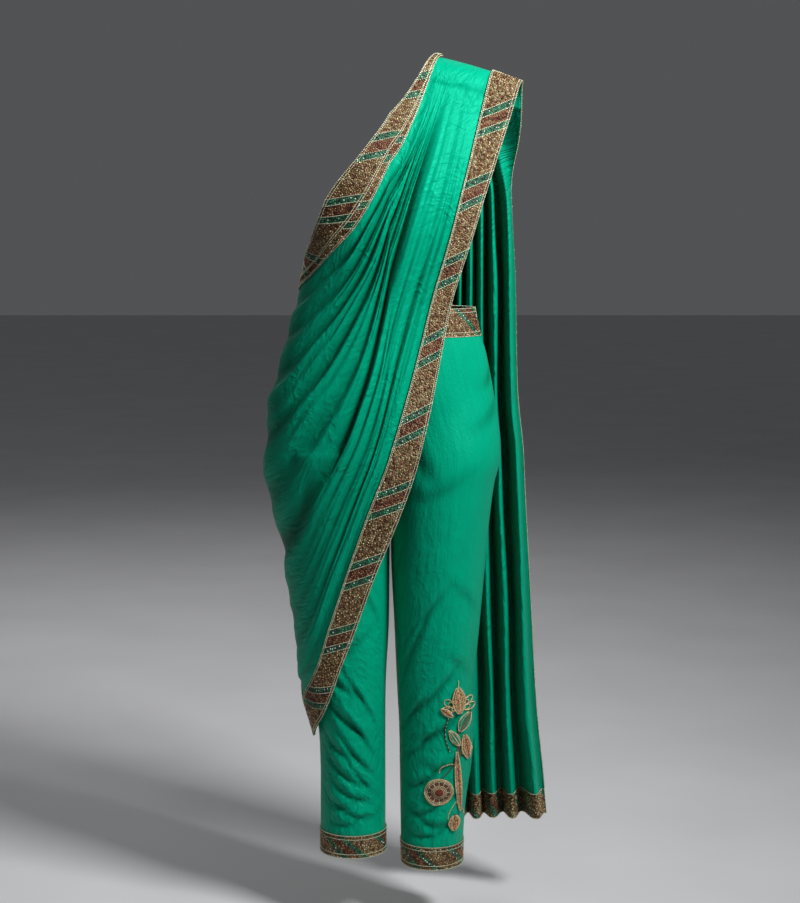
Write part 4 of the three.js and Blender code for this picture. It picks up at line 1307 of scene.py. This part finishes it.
class BeadTree:
    """A Geometry Nodes tree that sets beads on a surface or in rows along edges."""

    def __init__(self, name: str, in_rows: bool) -> None:
        """Builds the tree with named inputs for its sizes.

        Args:
            name: Name of the tree.
            in_rows: Whether the beads follow edges.
        """
        self.tree = bpy.data.node_groups.new(name, "GeometryNodeTree")
        face = self.tree.interface
        face.new_socket("Cloth", in_out="INPUT", socket_type="NodeSocketGeometry")
        self.sockets = {
            label: face.new_socket(label, in_out="INPUT", socket_type=kind)
            for label, kind in (
                ("Spacing", "NodeSocketFloat"),
                ("Bead Size", "NodeSocketFloat"),
                ("Bead Length", "NodeSocketFloat"),
                ("Seed", "NodeSocketInt"),
                ("Finish", "NodeSocketMaterial"),
            )
        }
        face.new_socket("Beads", in_out="OUTPUT", socket_type="NodeSocketGeometry")
        self.source = self.add("NodeGroupInput")
        if in_rows:
            curve = self.add("GeometryNodeMeshToCurve", {"Mesh": (self.source, "Cloth")})
            spots = self.add("GeometryNodeCurveToPoints", {"Curve": (curve, 0)})
            spots.mode = "LENGTH"
            self.join(spots, "Length", (self.source, "Spacing"))
        else:
            spots = self.add("GeometryNodeDistributePointsOnFaces")
            spots.distribute_method = "POISSON"
            spots.inputs["Density Max"].default_value = MOST_BEADS_PER_M2
            self.join(spots, "Mesh", (self.source, "Cloth"))
            self.join(spots, "Distance Min", (self.source, "Spacing"))
            self.join(spots, "Seed", (self.source, "Seed"))
        bead = self.add("GeometryNodeMeshUVSphere", {"Radius": (self.source, "Bead Size")})
        bead.inputs["Segments"].default_value = 4
        bead.inputs["Rings"].default_value = 3 if in_rows else 2
        shape = self.add("ShaderNodeCombineXYZ", {"Z": (self.source, "Bead Length")})
        shape.inputs["X"].default_value = shape.inputs["Y"].default_value = 1
        ends = {"Points": (spots, "Points"), "Instance": (bead, "Mesh")}
        on = self.add("GeometryNodeInstanceOnPoints", ends)
        self.join(on, "Rotation", (spots, "Rotation"))
        self.join(on, "Scale", (shape, 0))
        real = self.add("GeometryNodeRealizeInstances", {"Geometry": (on, 0)})
        smooth = self.add("GeometryNodeSetShadeSmooth", {"Geometry": (real, 0)})
        ends = {"Geometry": (smooth, 0), "Material": (self.source, "Finish")}
        finish = self.add("GeometryNodeSetMaterial", ends)
        self.join(self.add("NodeGroupOutput"), "Beads", (finish, 0))

    def add(self, kind: str, inputs: Mapping | None = None) -> bpy.types.Node:
        """Adds a node with links into its sockets.

        Args:
            kind: Type of the node.
            inputs: Output that feeds each named socket.

        Returns:
            The node.
        """
        node = self.tree.nodes.new(kind)
        for name, source in (inputs or {}).items():
            self.join(node, name, source)
        return node

    def join(self, node: bpy.types.Node, name: str, source: tuple) -> None:
        """Links an output to a node's socket."""
        self.tree.links.new(source[0].outputs[source[1]], node.inputs[name])

    def run(self, name: str, mesh: bpy.types.Mesh, values: Mapping) -> bpy.types.Object:
        """Runs the tree on a mesh and keeps the result as a plain mesh.

        Args:
            name: Name of the new piece.
            mesh: Cloth or rows to work on.
            values: Value of each named input.

        Returns:
            The piece.
        """
        helper = placed(f"{name}_helper", mesh)
        modifier = helper.modifiers.new("beads", "NODES")
        modifier.node_group = self.tree
        for label, value in values.items():
            modifier[self.sockets[label].identifier] = value
        graph = bpy.context.evaluated_depsgraph_get()
        result = bpy.data.meshes.new_from_object(helper.evaluated_get(graph), depsgraph=graph)
        result.name = name
        helper.modifiers.clear()
        bpy.data.objects.remove(helper)
        return placed(name, result)


def rows_mesh(name: str, lines: Sequence[Array]) -> bpy.types.Mesh:
    """Lines of points in millimetres as a mesh of edges.

    Args:
        name: Name of the piece.
        lines: Lines of points in millimetres.

    Returns:
        The mesh.
    """
    points, edges, start = [], [], 0
    for line in lines:
        points.append(line * MM)
        edges += [(k, k + 1) for k in range(start, start + len(line) - 1)]
        start += len(line)
    mesh = bpy.data.meshes.new(name)
    mesh.from_pydata(np.concatenate(points).tolist(), edges, [])
    return mesh


@dataclass
class Wardrobe:
    """Attaches pieces to the root and keeps the two bead trees."""

    on_faces: BeadTree = field(default_factory=lambda: BeadTree("beads_on_cloth", False))
    in_rows: BeadTree = field(default_factory=lambda: BeadTree("beads_in_rows", True))

    def keep(self, piece: bpy.types.Object, slot: str, *nodes: str) -> bpy.types.Object:
        """Attaches a piece to what it rides on and hides the nodes that it replaces.

        Args:
            piece: The piece.
            slot: Not used.
            nodes: Nodes that it replaces.

        Returns:
            The same piece.
        """
        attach(piece, ROOT)
        if nodes:
            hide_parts(*nodes)
        piece.data.calc_loop_triangles()
        log.info("%s: %d triangles", piece.name, len(piece.data.loop_triangles))
        return piece

    def row_beads(self, name: str, lines: Sequence[Array], finish: Finish, size: float, gap: float,
                  slot: str, length: float = 1.0) -> bpy.types.Object:
        """Sets beads in rows along lines.

        Args:
            name: Name of the piece.
            lines: Lines of points in millimetres.
            finish: Finish of the beads.
            size: Radius of a bead in millimetres.
            gap: Distance from bead to bead in millimetres.
            slot: Not used; passed on to keep, which does not read it.
            length: Stretch of a bead along its row.

        Returns:
            The piece.
        """
        values = {"Spacing": gap * MM, "Bead Size": size * MM, "Bead Length": length,
                  "Finish": finish.material()}
        return self.keep(self.in_rows.run(name, rows_mesh(name, lines), values), slot)


@dataclass
class BeadedBand:
    """A strip of beadwork on cloth: its wall, its scattered beads, its edging and its slanting stripes."""

    name: str
    node: str
    cloth: Cloth
    finish: Finish
    face: int
    flat: tuple[float, float]
    held: str
    lift: float = 0.0
    thick: float = BAND_WALL
    seed: int = 1
    spacing: float = 3.3
    bead: float = 1.35
    bead_stretch: float = 0.8
    across_is_u: bool = True
    two_sided: bool = False

    def stripe_lines(self, cloth: Cloth) -> list[Array]:
        """Lines of cord along both sides of each slanting stripe.

        Args:
            cloth: The cloth.

        Returns:
            The lines, in millimetres.
        """
        finish: BorderFinish = self.finish.value
        across, along = cloth.lay[..., 0], cloth.lay[..., 1]
        value = along + across * finish.slope
        lines = []
        edge = finish.stripe + 0.0008
        offsets = [side * finish.pair + rim * edge for side in (-1, 1) for rim in (-1, 1)]
        low, high = int(value.min() / finish.period) - 1, int(value.max() / finish.period) + 2
        for turn in range(low, high):
            for offset in offsets:
                target = turn * finish.period + offset + finish.phase
                line = []
                for k in range(cloth.points.shape[0]):
                    track = value[k]
                    if track[0] <= target <= track[-1]:
                        place = np.interp(target, track, np.arange(len(track)))
                        first = min(int(place), len(track) - 2)
                        rest = place - first
                        line.append(cloth.points[k, first] * (1 - rest) + cloth.points[k, first + 1] * rest)
                if len(line) >= 3:
                    lines.append(np.array(line))
        return lines

    def build(self, wardrobe: Wardrobe) -> list[bpy.types.Object]:
        """Returns:
            The band and its trims.
        """
        centre = self.cloth.moved(self.lift * self.face)
        band = placed(self.name, wall_mesh(self.name, centre, self.thick), self.finish)
        wardrobe.keep(band, "beaded_border", self.node)
        trims = []
        for side in (1, -1) if self.two_sided else (1,):
            tag = "beads" if side > 0 else "beads_inside"
            top = centre.moved(self.thick / 2 * self.face * side)
            mesh = open_mesh(f"{self.name}_top", top)
            values = {"Spacing": self.spacing * MM, "Bead Size": self.bead * MM,
                      "Bead Length": self.bead_stretch, "Seed": self.seed,
                      "Finish": self.finish.beads().material()}
            beads = wardrobe.on_faces.run(f"{self.name}_{tag}", mesh, values)
            trims.append(wardrobe.keep(beads, "beaded_border"))
            above = top.moved(CORD_LIFT * self.face * side).points
            if top.tube:
                above = np.concatenate([above, above[:1]])
                edges = [above[:, 0], above[:, -1], above[:, 2], above[:, -3]]
                stripes = []
            else:
                edges, stripes = [above[:, 0], above[:, -1]], []
                if self.across_is_u:
                    edges = [above[0], above[-1], above[1], above[-2]]
                    stripes = self.stripe_lines(top.moved(CORD_LIFT * self.face * side))
            name = f"{self.name}_cord" if side > 0 else f"{self.name}_cord_inside"
            trims.append(wardrobe.row_beads(name, edges + stripes, Finish.CORD, CORD_RADIUS, CORD_STITCH,
                                            "beaded_border", CORD_STRETCH))
        return [band, *trims]


@dataclass
class Trousers:
    """Four panels, a waistband and two cuffs."""

    grid_around: int = 60
    grid_down: int = 150
    panel_flat: tuple[float, float] = (0.285, 0.86)
    panel_cut_area: float = 0.205
    seam_share: float = 0.016
    stitch_radius: float = 0.34
    stitch_gap: float = 3.4
    stitch_stretch: float = 3.2
    stitch_above_cuff: float = 4.0
    seam_top: float = -60.0
    cuff_proud: float = 0.6

    def panel(self, wardrobe: Wardrobe, name: str, side: int, turn: int) -> bpy.types.Object:
        """Builds one panel.

        Args:
            name: Name of the node that it replaces.
            side: 1 on the left leg and -1 on the right.
            turn: -1 in front and 1 behind.

        Returns:
            The panel.
        """
        top = -WAISTBAND_HEIGHT - SEAM_GAP / 2
        cuff_top = HEM["left" if side > 0 else "right"] + CUFF_HEIGHT + SEAM_GAP / 2
        around = np.linspace(SEAM_SHARE, 1 - SEAM_SHARE, self.grid_around)
        levels = np.linspace(cuff_top, top, self.grid_down)
        cloth = Cloth.of(lambda u, v: trouser_point(side, turn, u, v), around, levels)
        creases = trouser_hollow(side, turn, around[:, None], levels[None, :])
        # Painted shade: the creases' depth darkens the crepe's colour in them
        cloth.hollow = np.clip(creases / CREASE_DEEPEST, 0, 1)
        piece = placed(f"{name}_cloth", wall_mesh(name, cloth, CREPE_WALL), Finish.CREPE_TROUSER)
        wardrobe.keep(piece, "crepe", name)
        return piece

    def seams(self, wardrobe: Wardrobe) -> None:
        """Builds the sewing beside the side seams and above the cuffs.
        """
        lines = []
        for side in (-1, 1):
            top = HEM["left" if side > 0 else "right"] + CUFF_HEIGHT + self.stitch_above_cuff
            levels = np.linspace(top, self.seam_top, 240)
            for turn in (-1, 1):
                seam = trouser_point(side, turn, np.full_like(levels, self.seam_share), levels)
                seam[:, 0] += side * CREPE_WALL / 2
                lines.append(seam)
                shares = np.linspace(0.02, 0.98, 90)
                hem = trouser_point(side, turn, shares, np.full_like(shares, top))
                hem[:, 1] += turn * CREPE_WALL / 2
                lines.append(hem)
        wardrobe.row_beads("trouser_stitching", lines, Finish.THREAD, self.stitch_radius, self.stitch_gap,
                           "crepe", self.stitch_stretch)

    def build(self, wardrobe: Wardrobe) -> None:
        """Builds the whole of the trousers.
        """
        for name, side, turn in (
            ("trouser_front_left", 1, -1),
            ("trouser_front_right", -1, -1),
            ("trouser_back_left", 1, 1),
            ("trouser_back_right", -1, 1),
        ):
            self.panel(wardrobe, name, side, turn)
        shares = np.linspace(0, 1, 181)[:-1]
        levels = np.linspace(-WAISTBAND_HEIGHT + SEAM_GAP / 2, 0, 15)
        cloth = Cloth.of(lambda u, v: ring_point(0, u, v, 0.0), shares, levels, tube=True)
        cloth.lay = cloth.lay[..., [1, 0, 2]]
        BeadedBand("waistband_beaded", "waistband", cloth, Finish.WAIST, -1, (0.76, 0.045), "hung",
                   seed=3).build(wardrobe)
        for side, leg in ((1, "left"), (-1, "right")):
            levels = np.linspace(HEM[leg], HEM[leg] + CUFF_HEIGHT - SEAM_GAP / 2, 13)
            cloth = Cloth.of(lambda u, v: ring_point(side, u, v, self.cuff_proud), shares[::2], levels,
                             tube=True)
            cloth.lay = cloth.lay[..., [1, 0, 2]] * (1, -side, 1)
            BeadedBand(f"cuff_{leg}_beaded", f"cuff_{leg}", cloth, Finish.CUFF, -side, (0.37, 0.038), "hung",
                       seed=5).build(wardrobe)
        self.seams(wardrobe)


@dataclass
class SareeDrape:
    """The stretch from the back seam round the right side to the shoulder, with its beaded edges."""

    grid_lines: int = 190
    grid_shoulder: int = 34
    grid_front: int = 130
    grid_back: int = 72
    front_flat: tuple[float, float] = (0.8, 0.86)
    front_area: float = 0.325
    back_flat: tuple[float, float] = (0.64, 0.42)
    back_area: float = 0.172

    def cloth(self, us: Array, vs: Array) -> Cloth:
        """Samples the drape with its hollows.

        Args:
            us: Lines of the cloth.
            vs: Shares of its run.

        Returns:
            The cloth.
        """
        cloth = Cloth.of(drape_point, us, vs)
        # Painted shade: the depth of the folds and creases darkens the crepe's colour in them
        cloth.hollow = np.clip(drape_hollow(us[:, None], vs[None, :]) / FOLD_DEEPEST, 0, 1)
        return cloth

    def build(self, wardrobe: Wardrobe) -> None:
        """Builds the cloth and its three beaded bands.
        """
        lines = np.linspace(0, 1, self.grid_lines)
        over_shoulder = np.linspace(*SHOULDER_RUN, self.grid_shoulder)[:-1]
        down_front = np.linspace(SHOULDER_RUN[1], SIDE_SEAM_RUN, self.grid_front)
        front_run = np.concatenate([over_shoulder, down_front])
        back_run = np.linspace(SIDE_SEAM_RUN + SIDE_SEAM_GAP, 1, self.grid_back)
        for name, run, flat, area in (
            ("drape_front", front_run, self.front_flat, self.front_area),
            ("drape_back", back_run, self.back_flat, self.back_area),
        ):
            piece = placed(f"{name}_cloth", wall_mesh(name, self.cloth(lines, run), CREPE_WALL), Finish.CREPE)
            wardrobe.keep(piece, "crepe", name)
        whole = np.concatenate([front_run, np.linspace(SIDE_SEAM_RUN + 0.004, 1, self.grid_back)])
        for name, us, run, finish, face, flat, lift, seed in (
            ("lower", (1, LOWER_EDGE_FROM, 13), whole, Finish.BORDER, 1, (0.046, 1.75), BAND_LIFT, 7),
            ("under", (UNDER_EDGE_FROM, UNDER_EDGE_TO, 9), front_run, Finish.UPPER_BORDER, -1, (0.03, 0.45),
             BAND_LIFT, 9),
            ("upper", (0, UPPER_EDGE_WIDE, 12), whole, Finish.UPPER_BORDER, -1, (0.04, 0.86), OVER_LIFT, 11),
        ):
            strip = self.cloth(np.linspace(*us), run).as_strip()
            if name == "lower":
                strip.lay[..., 1] += STRIPE_CREEP * ease(*STRIPE_CREEP_SPAN, strip.lay[..., 1])
            BeadedBand(f"drape_{name}_border", f"drape_{name}_band", strip, finish, face, flat, "draped",
                       lift=lift, seed=seed).build(wardrobe)


@dataclass
class Pallu:
    """The pleated end that hangs behind the left shoulder, with its side and end bands."""

    grid_lines: int = 226
    grid_down: int = 110
    flat: tuple[float, float] = (0.6, 1.27)

    def build(self, wardrobe: Wardrobe) -> None:
        """Builds the pleated cloth and its bands.
        """
        end = pallu_run_to(PALLU_HEM + PALLU_END_BAND)
        run = np.concatenate([np.linspace(0.3, 90, 28)[:-1], np.linspace(90, end, self.grid_down)])
        lines = np.linspace(0, 1, self.grid_lines)
        cloth = Cloth.of(pallu_point, lines, run)
        full = 1 - ease(PALLU_FULL_AT, SHOULDER_TOP - 20, level_after(run))[None, :]
        wave = pleat_wave(lines)[:, None] / PLEAT_DEEPEST
        # Painted shade in the pleats' valleys, on the outer and the inner face, fading out towards the
        # shoulder
        cloth.hollow = np.clip(0.18 - 0.5 * wave, 0, 1) * full
        cloth.hollow_under = np.clip(0.3 + 0.5 * wave, 0, 1) * full
        piece = placed("pallu_cloth", wall_mesh("pallu", cloth, CREPE_WALL), Finish.CREPE_PALLU)
        wardrobe.keep(piece, "crepe", "pallu")
        for name, share_from, share_to, flat, seed in (
            ("inner", 0.0, PALLU_INNER_BAND, (0.034, 1.27), 13),
            ("outer", 1.0, 1 - PALLU_OUTER_BAND, (0.046, 1.27), 15),
        ):
            strip = Cloth.of(pallu_point, np.linspace(share_from, share_to, 11), run).as_strip()
            face = 1 if name == "inner" else -1
            BeadedBand(f"pallu_{name}_border", f"pallu_{name}_band", strip, Finish.BORDER, face, flat, "hung",
                       lift=BAND_LIFT, seed=seed).build(wardrobe)
        hem = np.linspace(end + SEAM_GAP, pallu_run_to(PALLU_HEM), 12)
        strip = Cloth.of(pallu_point, np.linspace(0, 1, 300), hem)
        strip.lay = strip.lay[..., [1, 0, 2]]
        strip.lay[..., 1] = strip.lay[:, :1, 1]
        BeadedBand("pallu_end_border", "pallu_end_band", strip, Finish.BORDER, 1, (0.66, 0.043), "hung",
                   seed=17, across_is_u=False, two_sided=True).build(wardrobe)


def on_left_leg(x: Array, z: Array, lift: float) -> Array:
    """Points over the left leg's front at places across and levels.

    Args:
        x: Place across.
        z: Level.
        lift: How far the points stand off the cloth.

    Returns:
        The points, along a last axis of three.
    """
    outer, inner = TROUSERS.read("left_out", z), TROUSERS.read("left_in", z)
    across = np.clip((x - (outer + inner) / 2) / ((outer - inner) / 2), -0.98, 0.98)
    around = np.arccos(across) / math.pi
    point = trouser_point(1, -1, around, z, crinkled=False)
    outwards = np.stack([np.cos(around * math.pi), -np.sin(around * math.pi), 0 * z], -1)
    return point + outwards * (lift if np.isscalar(lift) else np.asarray(lift)[..., None])


@dataclass
class LegMotif:
    """A spray of raised beadwork: leaves, a stem, a paisley, a bud and a round medallion."""

    base: float = 1.1
    crown: float = 2.6
    cover_gap: float = 2.3
    cover_bead: float = 1.0
    cover_stretch: float = 0.9
    cover_seed: int = 21
    rim: tuple[float, float] = (1.25, 2.5)
    veins: tuple[float, float] = (0.8, 1.7)
    spine: tuple[float, float] = (1.3, 2.6)

    def leaf_place(self, row: Mapping[str, float], across: Array, along: Array) -> tuple[Array, Array]:
        """Place across and level on the leg of a point of a leaf.

        Args:
            row: Place, length, width and lean of the leaf.
            across: Share of the half width.
            along: Share of the length.

        Returns:
            The place across and the level.
        """
        angle = math.radians(row["lean"])
        half = row["wide"] / 2 * np.sin((0.06 + 0.88 * along) * math.pi) ** 0.8
        up, side = row["long"] * (along - 0.5), half * across
        x = row["x"] + side * math.cos(angle) - up * math.sin(angle)
        return x, row["z"] + side * math.sin(angle) + up * math.cos(angle)

    def leaf(self, wardrobe: Wardrobe, name: str, row: Mapping[str, float], finish: Finish) -> None:
        """Builds a domed leaf with beads round its edge and down its middle.

        Args:
            name: Name of the leaf.
            row: Place, length, width and lean of the leaf.
            finish: Its finish.
        """
        foot = self.base + row["clear"]
        across, along = np.linspace(-1, 1, 15)[:, None], np.linspace(0, 1, 31)[None, :]
        x, z = self.leaf_place(row, across, along)
        rise = np.sqrt(np.clip(1 - across**2, 0, 1)) * np.sin((0.05 + 0.9 * along) * math.pi) * self.crown
        dome = on_left_leg(x, z, foot + 0.6 + rise)
        cloth = Cloth.of(lambda u, v: dome, across[:, 0], along[0])
        piece = placed(f"motif_{name}_beadwork", wall_mesh(name, cloth, 1.0), finish)
        wardrobe.keep(piece, "bead_motif", f"motif_{name}")
        share = np.linspace(0, 1, 24)
        lines = []
        for side in (-1, 1):
            for ring in (1.0, 0.62):
                x, z = self.leaf_place(row, side * ring + 0 * share, share)
                lines.append(on_left_leg(x, z, foot + 1.4 + self.crown * math.sqrt(1 - min(ring, 0.99) ** 2)))
        self.cover(wardrobe, f"motif_{name}_cover", cloth.moved(0.5), finish)
        wardrobe.row_beads(f"motif_{name}_rim", lines[::2], Finish.GOLD_BEAD, *self.rim, "bead_motif")
        wardrobe.row_beads(f"motif_{name}_veins", lines[1::2], Finish.CORD, *self.veins, "bead_motif")
        x, z = self.leaf_place(row, 0 * share, share)
        spine = on_left_leg(x, z, foot + 1.3 + self.crown * np.sin((0.05 + 0.9 * share) * math.pi))
        middle = Finish.GOLD_BEAD if name in ("crown_leaf", "green_leaf") else Finish.RED_BEAD
        wardrobe.row_beads(f"motif_{name}_spine", [spine], middle, *self.spine, "bead_motif")

    def cover(self, wardrobe: Wardrobe, name: str, top: Cloth, finish: Finish) -> None:
        """Covers a raised form with small beads.

        Args:
            name: Name of the piece.
            top: The form's outer layer.
            finish: Its finish.
        """
        mesh = open_mesh(name, top)
        values = {"Spacing": self.cover_gap * MM, "Bead Size": self.cover_bead * MM,
                  "Bead Length": self.cover_stretch, "Seed": self.cover_seed, "Finish": finish.material()}
        wardrobe.keep(wardrobe.on_faces.run(name, mesh, values), "bead_motif")

    def petal(self, x: float, z: float, turn_deg: float, long: float, wide: float) -> Array:
        """Places across and levels round a petal that grows from a point.

        Args:
            x: Place across of its root.
            z: Level of its root.
            turn_deg: Direction of the petal.
            long: Length of the petal.
            wide: Width of the petal.

        Returns:
            The places across and the levels.
        """
        share = np.linspace(0, 1, 40)
        out, side = long * np.sin(math.pi * share), wide / 2 * np.sin(2 * math.pi * share)
        turn = math.radians(turn_deg)
        cos, sin = math.cos(turn), math.sin(turn)
        return np.array([x + out * cos - side * sin, z + out * sin + side * cos])

    def sprays(self, wardrobe: Wardrobe) -> None:
        """Builds the looped petals of beads round the crown leaf and the feather.
        """
        loops = [self.petal(x, z, turn, long * fill, wide * fill)
                 for x, z, long, wide, turns, fills in PETAL_ROWS for turn in turns for fill in fills]
        laid = [on_left_leg(loop[0], loop[1], 2.4) for loop in loops]
        wardrobe.row_beads("motif_petals", laid, Finish.GOLD_BEAD, 1.15, 2.3, "bead_motif")

    def ring(self, radius: float, lift: float) -> Array:
        """A circle round the medallion's middle."""
        angle = np.linspace(0, 2 * math.pi, 60)
        return on_left_leg(MEDALLION_X + radius * np.cos(angle), MEDALLION_Z + radius * np.sin(angle), lift)

    def medallion(self, wardrobe: Wardrobe) -> None:
        """Builds the round medallion with its rings of beads.
        """
        foot = self.base + 0.5
        radii, angles = np.linspace(0.2, MEDALLION_RADIUS, 12), np.linspace(0, 2 * math.pi, 61)[:-1]
        x = MEDALLION_X + radii[None, :] * np.cos(angles[:, None])
        z = MEDALLION_Z + radii[None, :] * np.sin(angles[:, None])
        rise = 1.6 * np.sqrt(np.clip(1 - (radii[None, :] / MEDALLION_RADIUS) ** 2, 0, 1)) + 0 * x
        disc = on_left_leg(x, z, foot + 0.6 + rise)
        cloth = Cloth.of(lambda u, v: disc, angles, radii, tube=True)
        piece = placed("motif_medallion_beadwork", wall_mesh("medallion", cloth, 1.0), Finish.DARK_BEAD)
        wardrobe.keep(piece, "bead_motif", "motif_medallion")
        rings = (
            ("outer", (22.5, 20.4), Finish.GOLD_BEAD, 1.25),
            ("cord", (18.0, 11.6), Finish.CORD, 0.95),
            ("inner", (9.4, 7.2), Finish.GOLD_BEAD, 1.0),
            ("heart", (5.0, 2.8, 0.8), Finish.RED_BEAD, 1.2),
        )
        for name, sizes, finish, bead in rings:
            lines = [self.ring(r, foot + 1.2 + 1.6 * math.sqrt(max(0.0, 1 - (r / 22.6) ** 2))) for r in sizes]
            wardrobe.row_beads(f"motif_medallion_{name}", lines, finish, bead, bead * 2.05, "bead_motif")
        for name, start, finish in (("rays", 0, Finish.GOLD_BEAD), ("red_rays", 1, Finish.RED_BEAD)):
            reach = np.linspace(12.6, 17.2, 6)
            turns = np.arange(start, 24, 2) * math.pi / 12
            rays = [(reach * math.cos(turn), reach * math.sin(turn)) for turn in turns]
            lines = [on_left_leg(MEDALLION_X + x, MEDALLION_Z + z, foot + 2.3) for x, z in rays]
            wardrobe.row_beads(f"motif_medallion_{name}", lines, finish, 1.05, 2.1, "bead_motif")

    def tendrils(self, wardrobe: Wardrobe) -> None:
        """Builds the curling lines of beads that join the leaves.
        """
        share = np.linspace(0, 1, 60)
        curl = np.array([97 - 7 * np.sin(share * math.pi), -664 - 63 * share])
        bend = np.array([123 + 9 * np.sin(share * math.pi), -644 - 42 * share])
        veins = [np.array([108 + shift + 3 * share, -698 - 42 * share]) for shift in (0, 3.5)]
        arch = np.array([98 + 17 * np.cos(math.pi * (1 - share)), -764 + 13 * np.sin(math.pi * share)])
        hook = np.array([106 - 26 * share**2, -742 - 34 * share])
        spray = [np.array([108 + side * 13 * np.sin(share * 1.6), -818 - 26 * share]) for side in (-1, 1)]
        top = [np.array([111 + 0 * share, -621 + 12 * share])]
        for name, lines, finish, bead in (
            ("dark", [curl, bend, hook], Finish.DARK_BEAD, 1.3),
            ("red", veins, Finish.RED_BEAD, 1.15),
            ("gold", [arch, *spray, *top], Finish.GOLD_BEAD, 1.05),
        ):
            laid = [on_left_leg(line[0], line[1], 1.7) for line in lines]
            wardrobe.row_beads(f"motif_{name}_tendrils", laid, finish, bead, bead * 2.05, "bead_motif")
        dots = [on_left_leg(line[0], line[1], 3.0) for line in (curl, bend)]
        wardrobe.row_beads("motif_pale_dots", dots, Finish.CORD, 1.0, 7.0, "bead_motif")

    def build(self, wardrobe: Wardrobe) -> None:
        """Builds the whole motif.
        """
        for name, row in zip(MOTIF_NAMES, MOTIF_ROWS):
            green = name in ("paisley", "green_leaf")
            self.leaf(wardrobe, name, row, Finish.GREEN_BEAD if green else Finish.MOTIF_BEAD)
        self.medallion(wardrobe)
        self.sprays(wardrobe)
        self.tendrils(wardrobe)


@dataclass
class Studio:
    """Pale floor, soft lights and the camera at the photograph's viewing angle."""

    floor_level: float = -1.03
    floor_size: float = 40.0
    distance: float = 3.2
    eye_level: float = 0.15
    eye_x: float = 0.016
    pitch_deg: float = 6.9
    focal_px: float = 1955.0
    sensor_mm: float = 36.0
    lights: tuple = (
        ("key_light", (1.45, -1.4, 1.6), 0.7, 35, 0.3, 95),
        ("fill_light", (-2.6, -2.6, 0.7), 2.2, 4),
        ("back_light", (-0.9, 2.6, 2.2), 2.0, 34),
    )
    surroundings: tuple[float, float, float, float] = (0.6, 0.61, 0.63, 1)
    surroundings_strength: float = 0.14

    def floor(self) -> None:
        """Builds the floor."""
        half = self.floor_size / 2
        mesh = bpy.data.meshes.new("floor")
        corners = [(-half, -half), (half, -half), (half, half), (-half, half)]
        mesh.from_pydata([(x, y, self.floor_level) for x, y in corners], [], [(0, 1, 2, 3)])
        g = Graph("floor_paint")
        place = g.signal("ShaderNodeTexCoord", None, None, "Object")
        tone = g.ramp(g.noise(place, 3.0, 2), (0.3, (0.6, 0.6, 0.61)), (0.7, (0.64, 0.64, 0.65)))
        mesh.materials.append(g.finish({"Base Color": tone, "Roughness": 0.75}))
        floor = bpy.data.objects.new("floor", mesh)
        bpy.context.scene.collection.objects.link(floor)

    def light(self, name: str, place: tuple[float, float, float], size: float, power: float,
              aim_level: float = -0.2, spread_deg: float = 180.0) -> None:
        """Builds a square soft light.

        Args:
            name: Name of the light.
            place: Where it stands.
            size: Side of the square.
            power: Its power in watts.
            aim_level: Level on the garment's axis that it faces.
            spread_deg: Angle that it spreads over.
        """
        lamp = bpy.data.lights.new(name, "AREA")
        lamp.size, lamp.energy, lamp.spread = size, power, math.radians(spread_deg)
        holder = bpy.data.objects.new(name, lamp)
        holder.location = place
        aim = Vector((0, 0, aim_level)) - holder.location
        holder.rotation_euler = aim.to_track_quat("-Z", "Y").to_euler()
        bpy.context.scene.collection.objects.link(holder)

    def camera(self) -> None:
        """Builds the camera."""
        lens = bpy.data.cameras.new("camera")
        lens.sensor_fit = "HORIZONTAL"
        lens.sensor_width = self.sensor_mm
        lens.lens = self.focal_px / IMAGE_WIDTH_PX * self.sensor_mm
        holder = bpy.data.objects.new("camera", lens)
        holder.location = (self.eye_x, -self.distance, self.eye_level)
        holder.rotation_euler = (math.radians(90 - self.pitch_deg), 0, 0)
        bpy.context.scene.collection.objects.link(holder)
        bpy.context.scene.camera = holder

    def build(self) -> None:
        """Builds the floor, the lights, the surroundings and the camera."""
        self.floor()
        for light in self.lights:
            self.light(*light)
        world = bpy.data.worlds.new("studio")
        world.use_nodes = True
        background = world.node_tree.nodes["Background"]
        background.inputs["Color"].default_value = self.surroundings
        background.inputs["Strength"].default_value = self.surroundings_strength
        bpy.context.scene.world = world
        bpy.context.scene.view_settings.view_transform = "Standard"
        self.camera()


def main() -> None:
    """Builds the garment in order."""
    logging.basicConfig(level=logging.INFO, format="%(message)s")
    wardrobe = Wardrobe()
    Studio().build()
    Trousers().build(wardrobe)
    SareeDrape().build(wardrobe)
    Pallu().build(wardrobe)
    LegMotif().build(wardrobe)


if __name__ == "__main__":
    main()
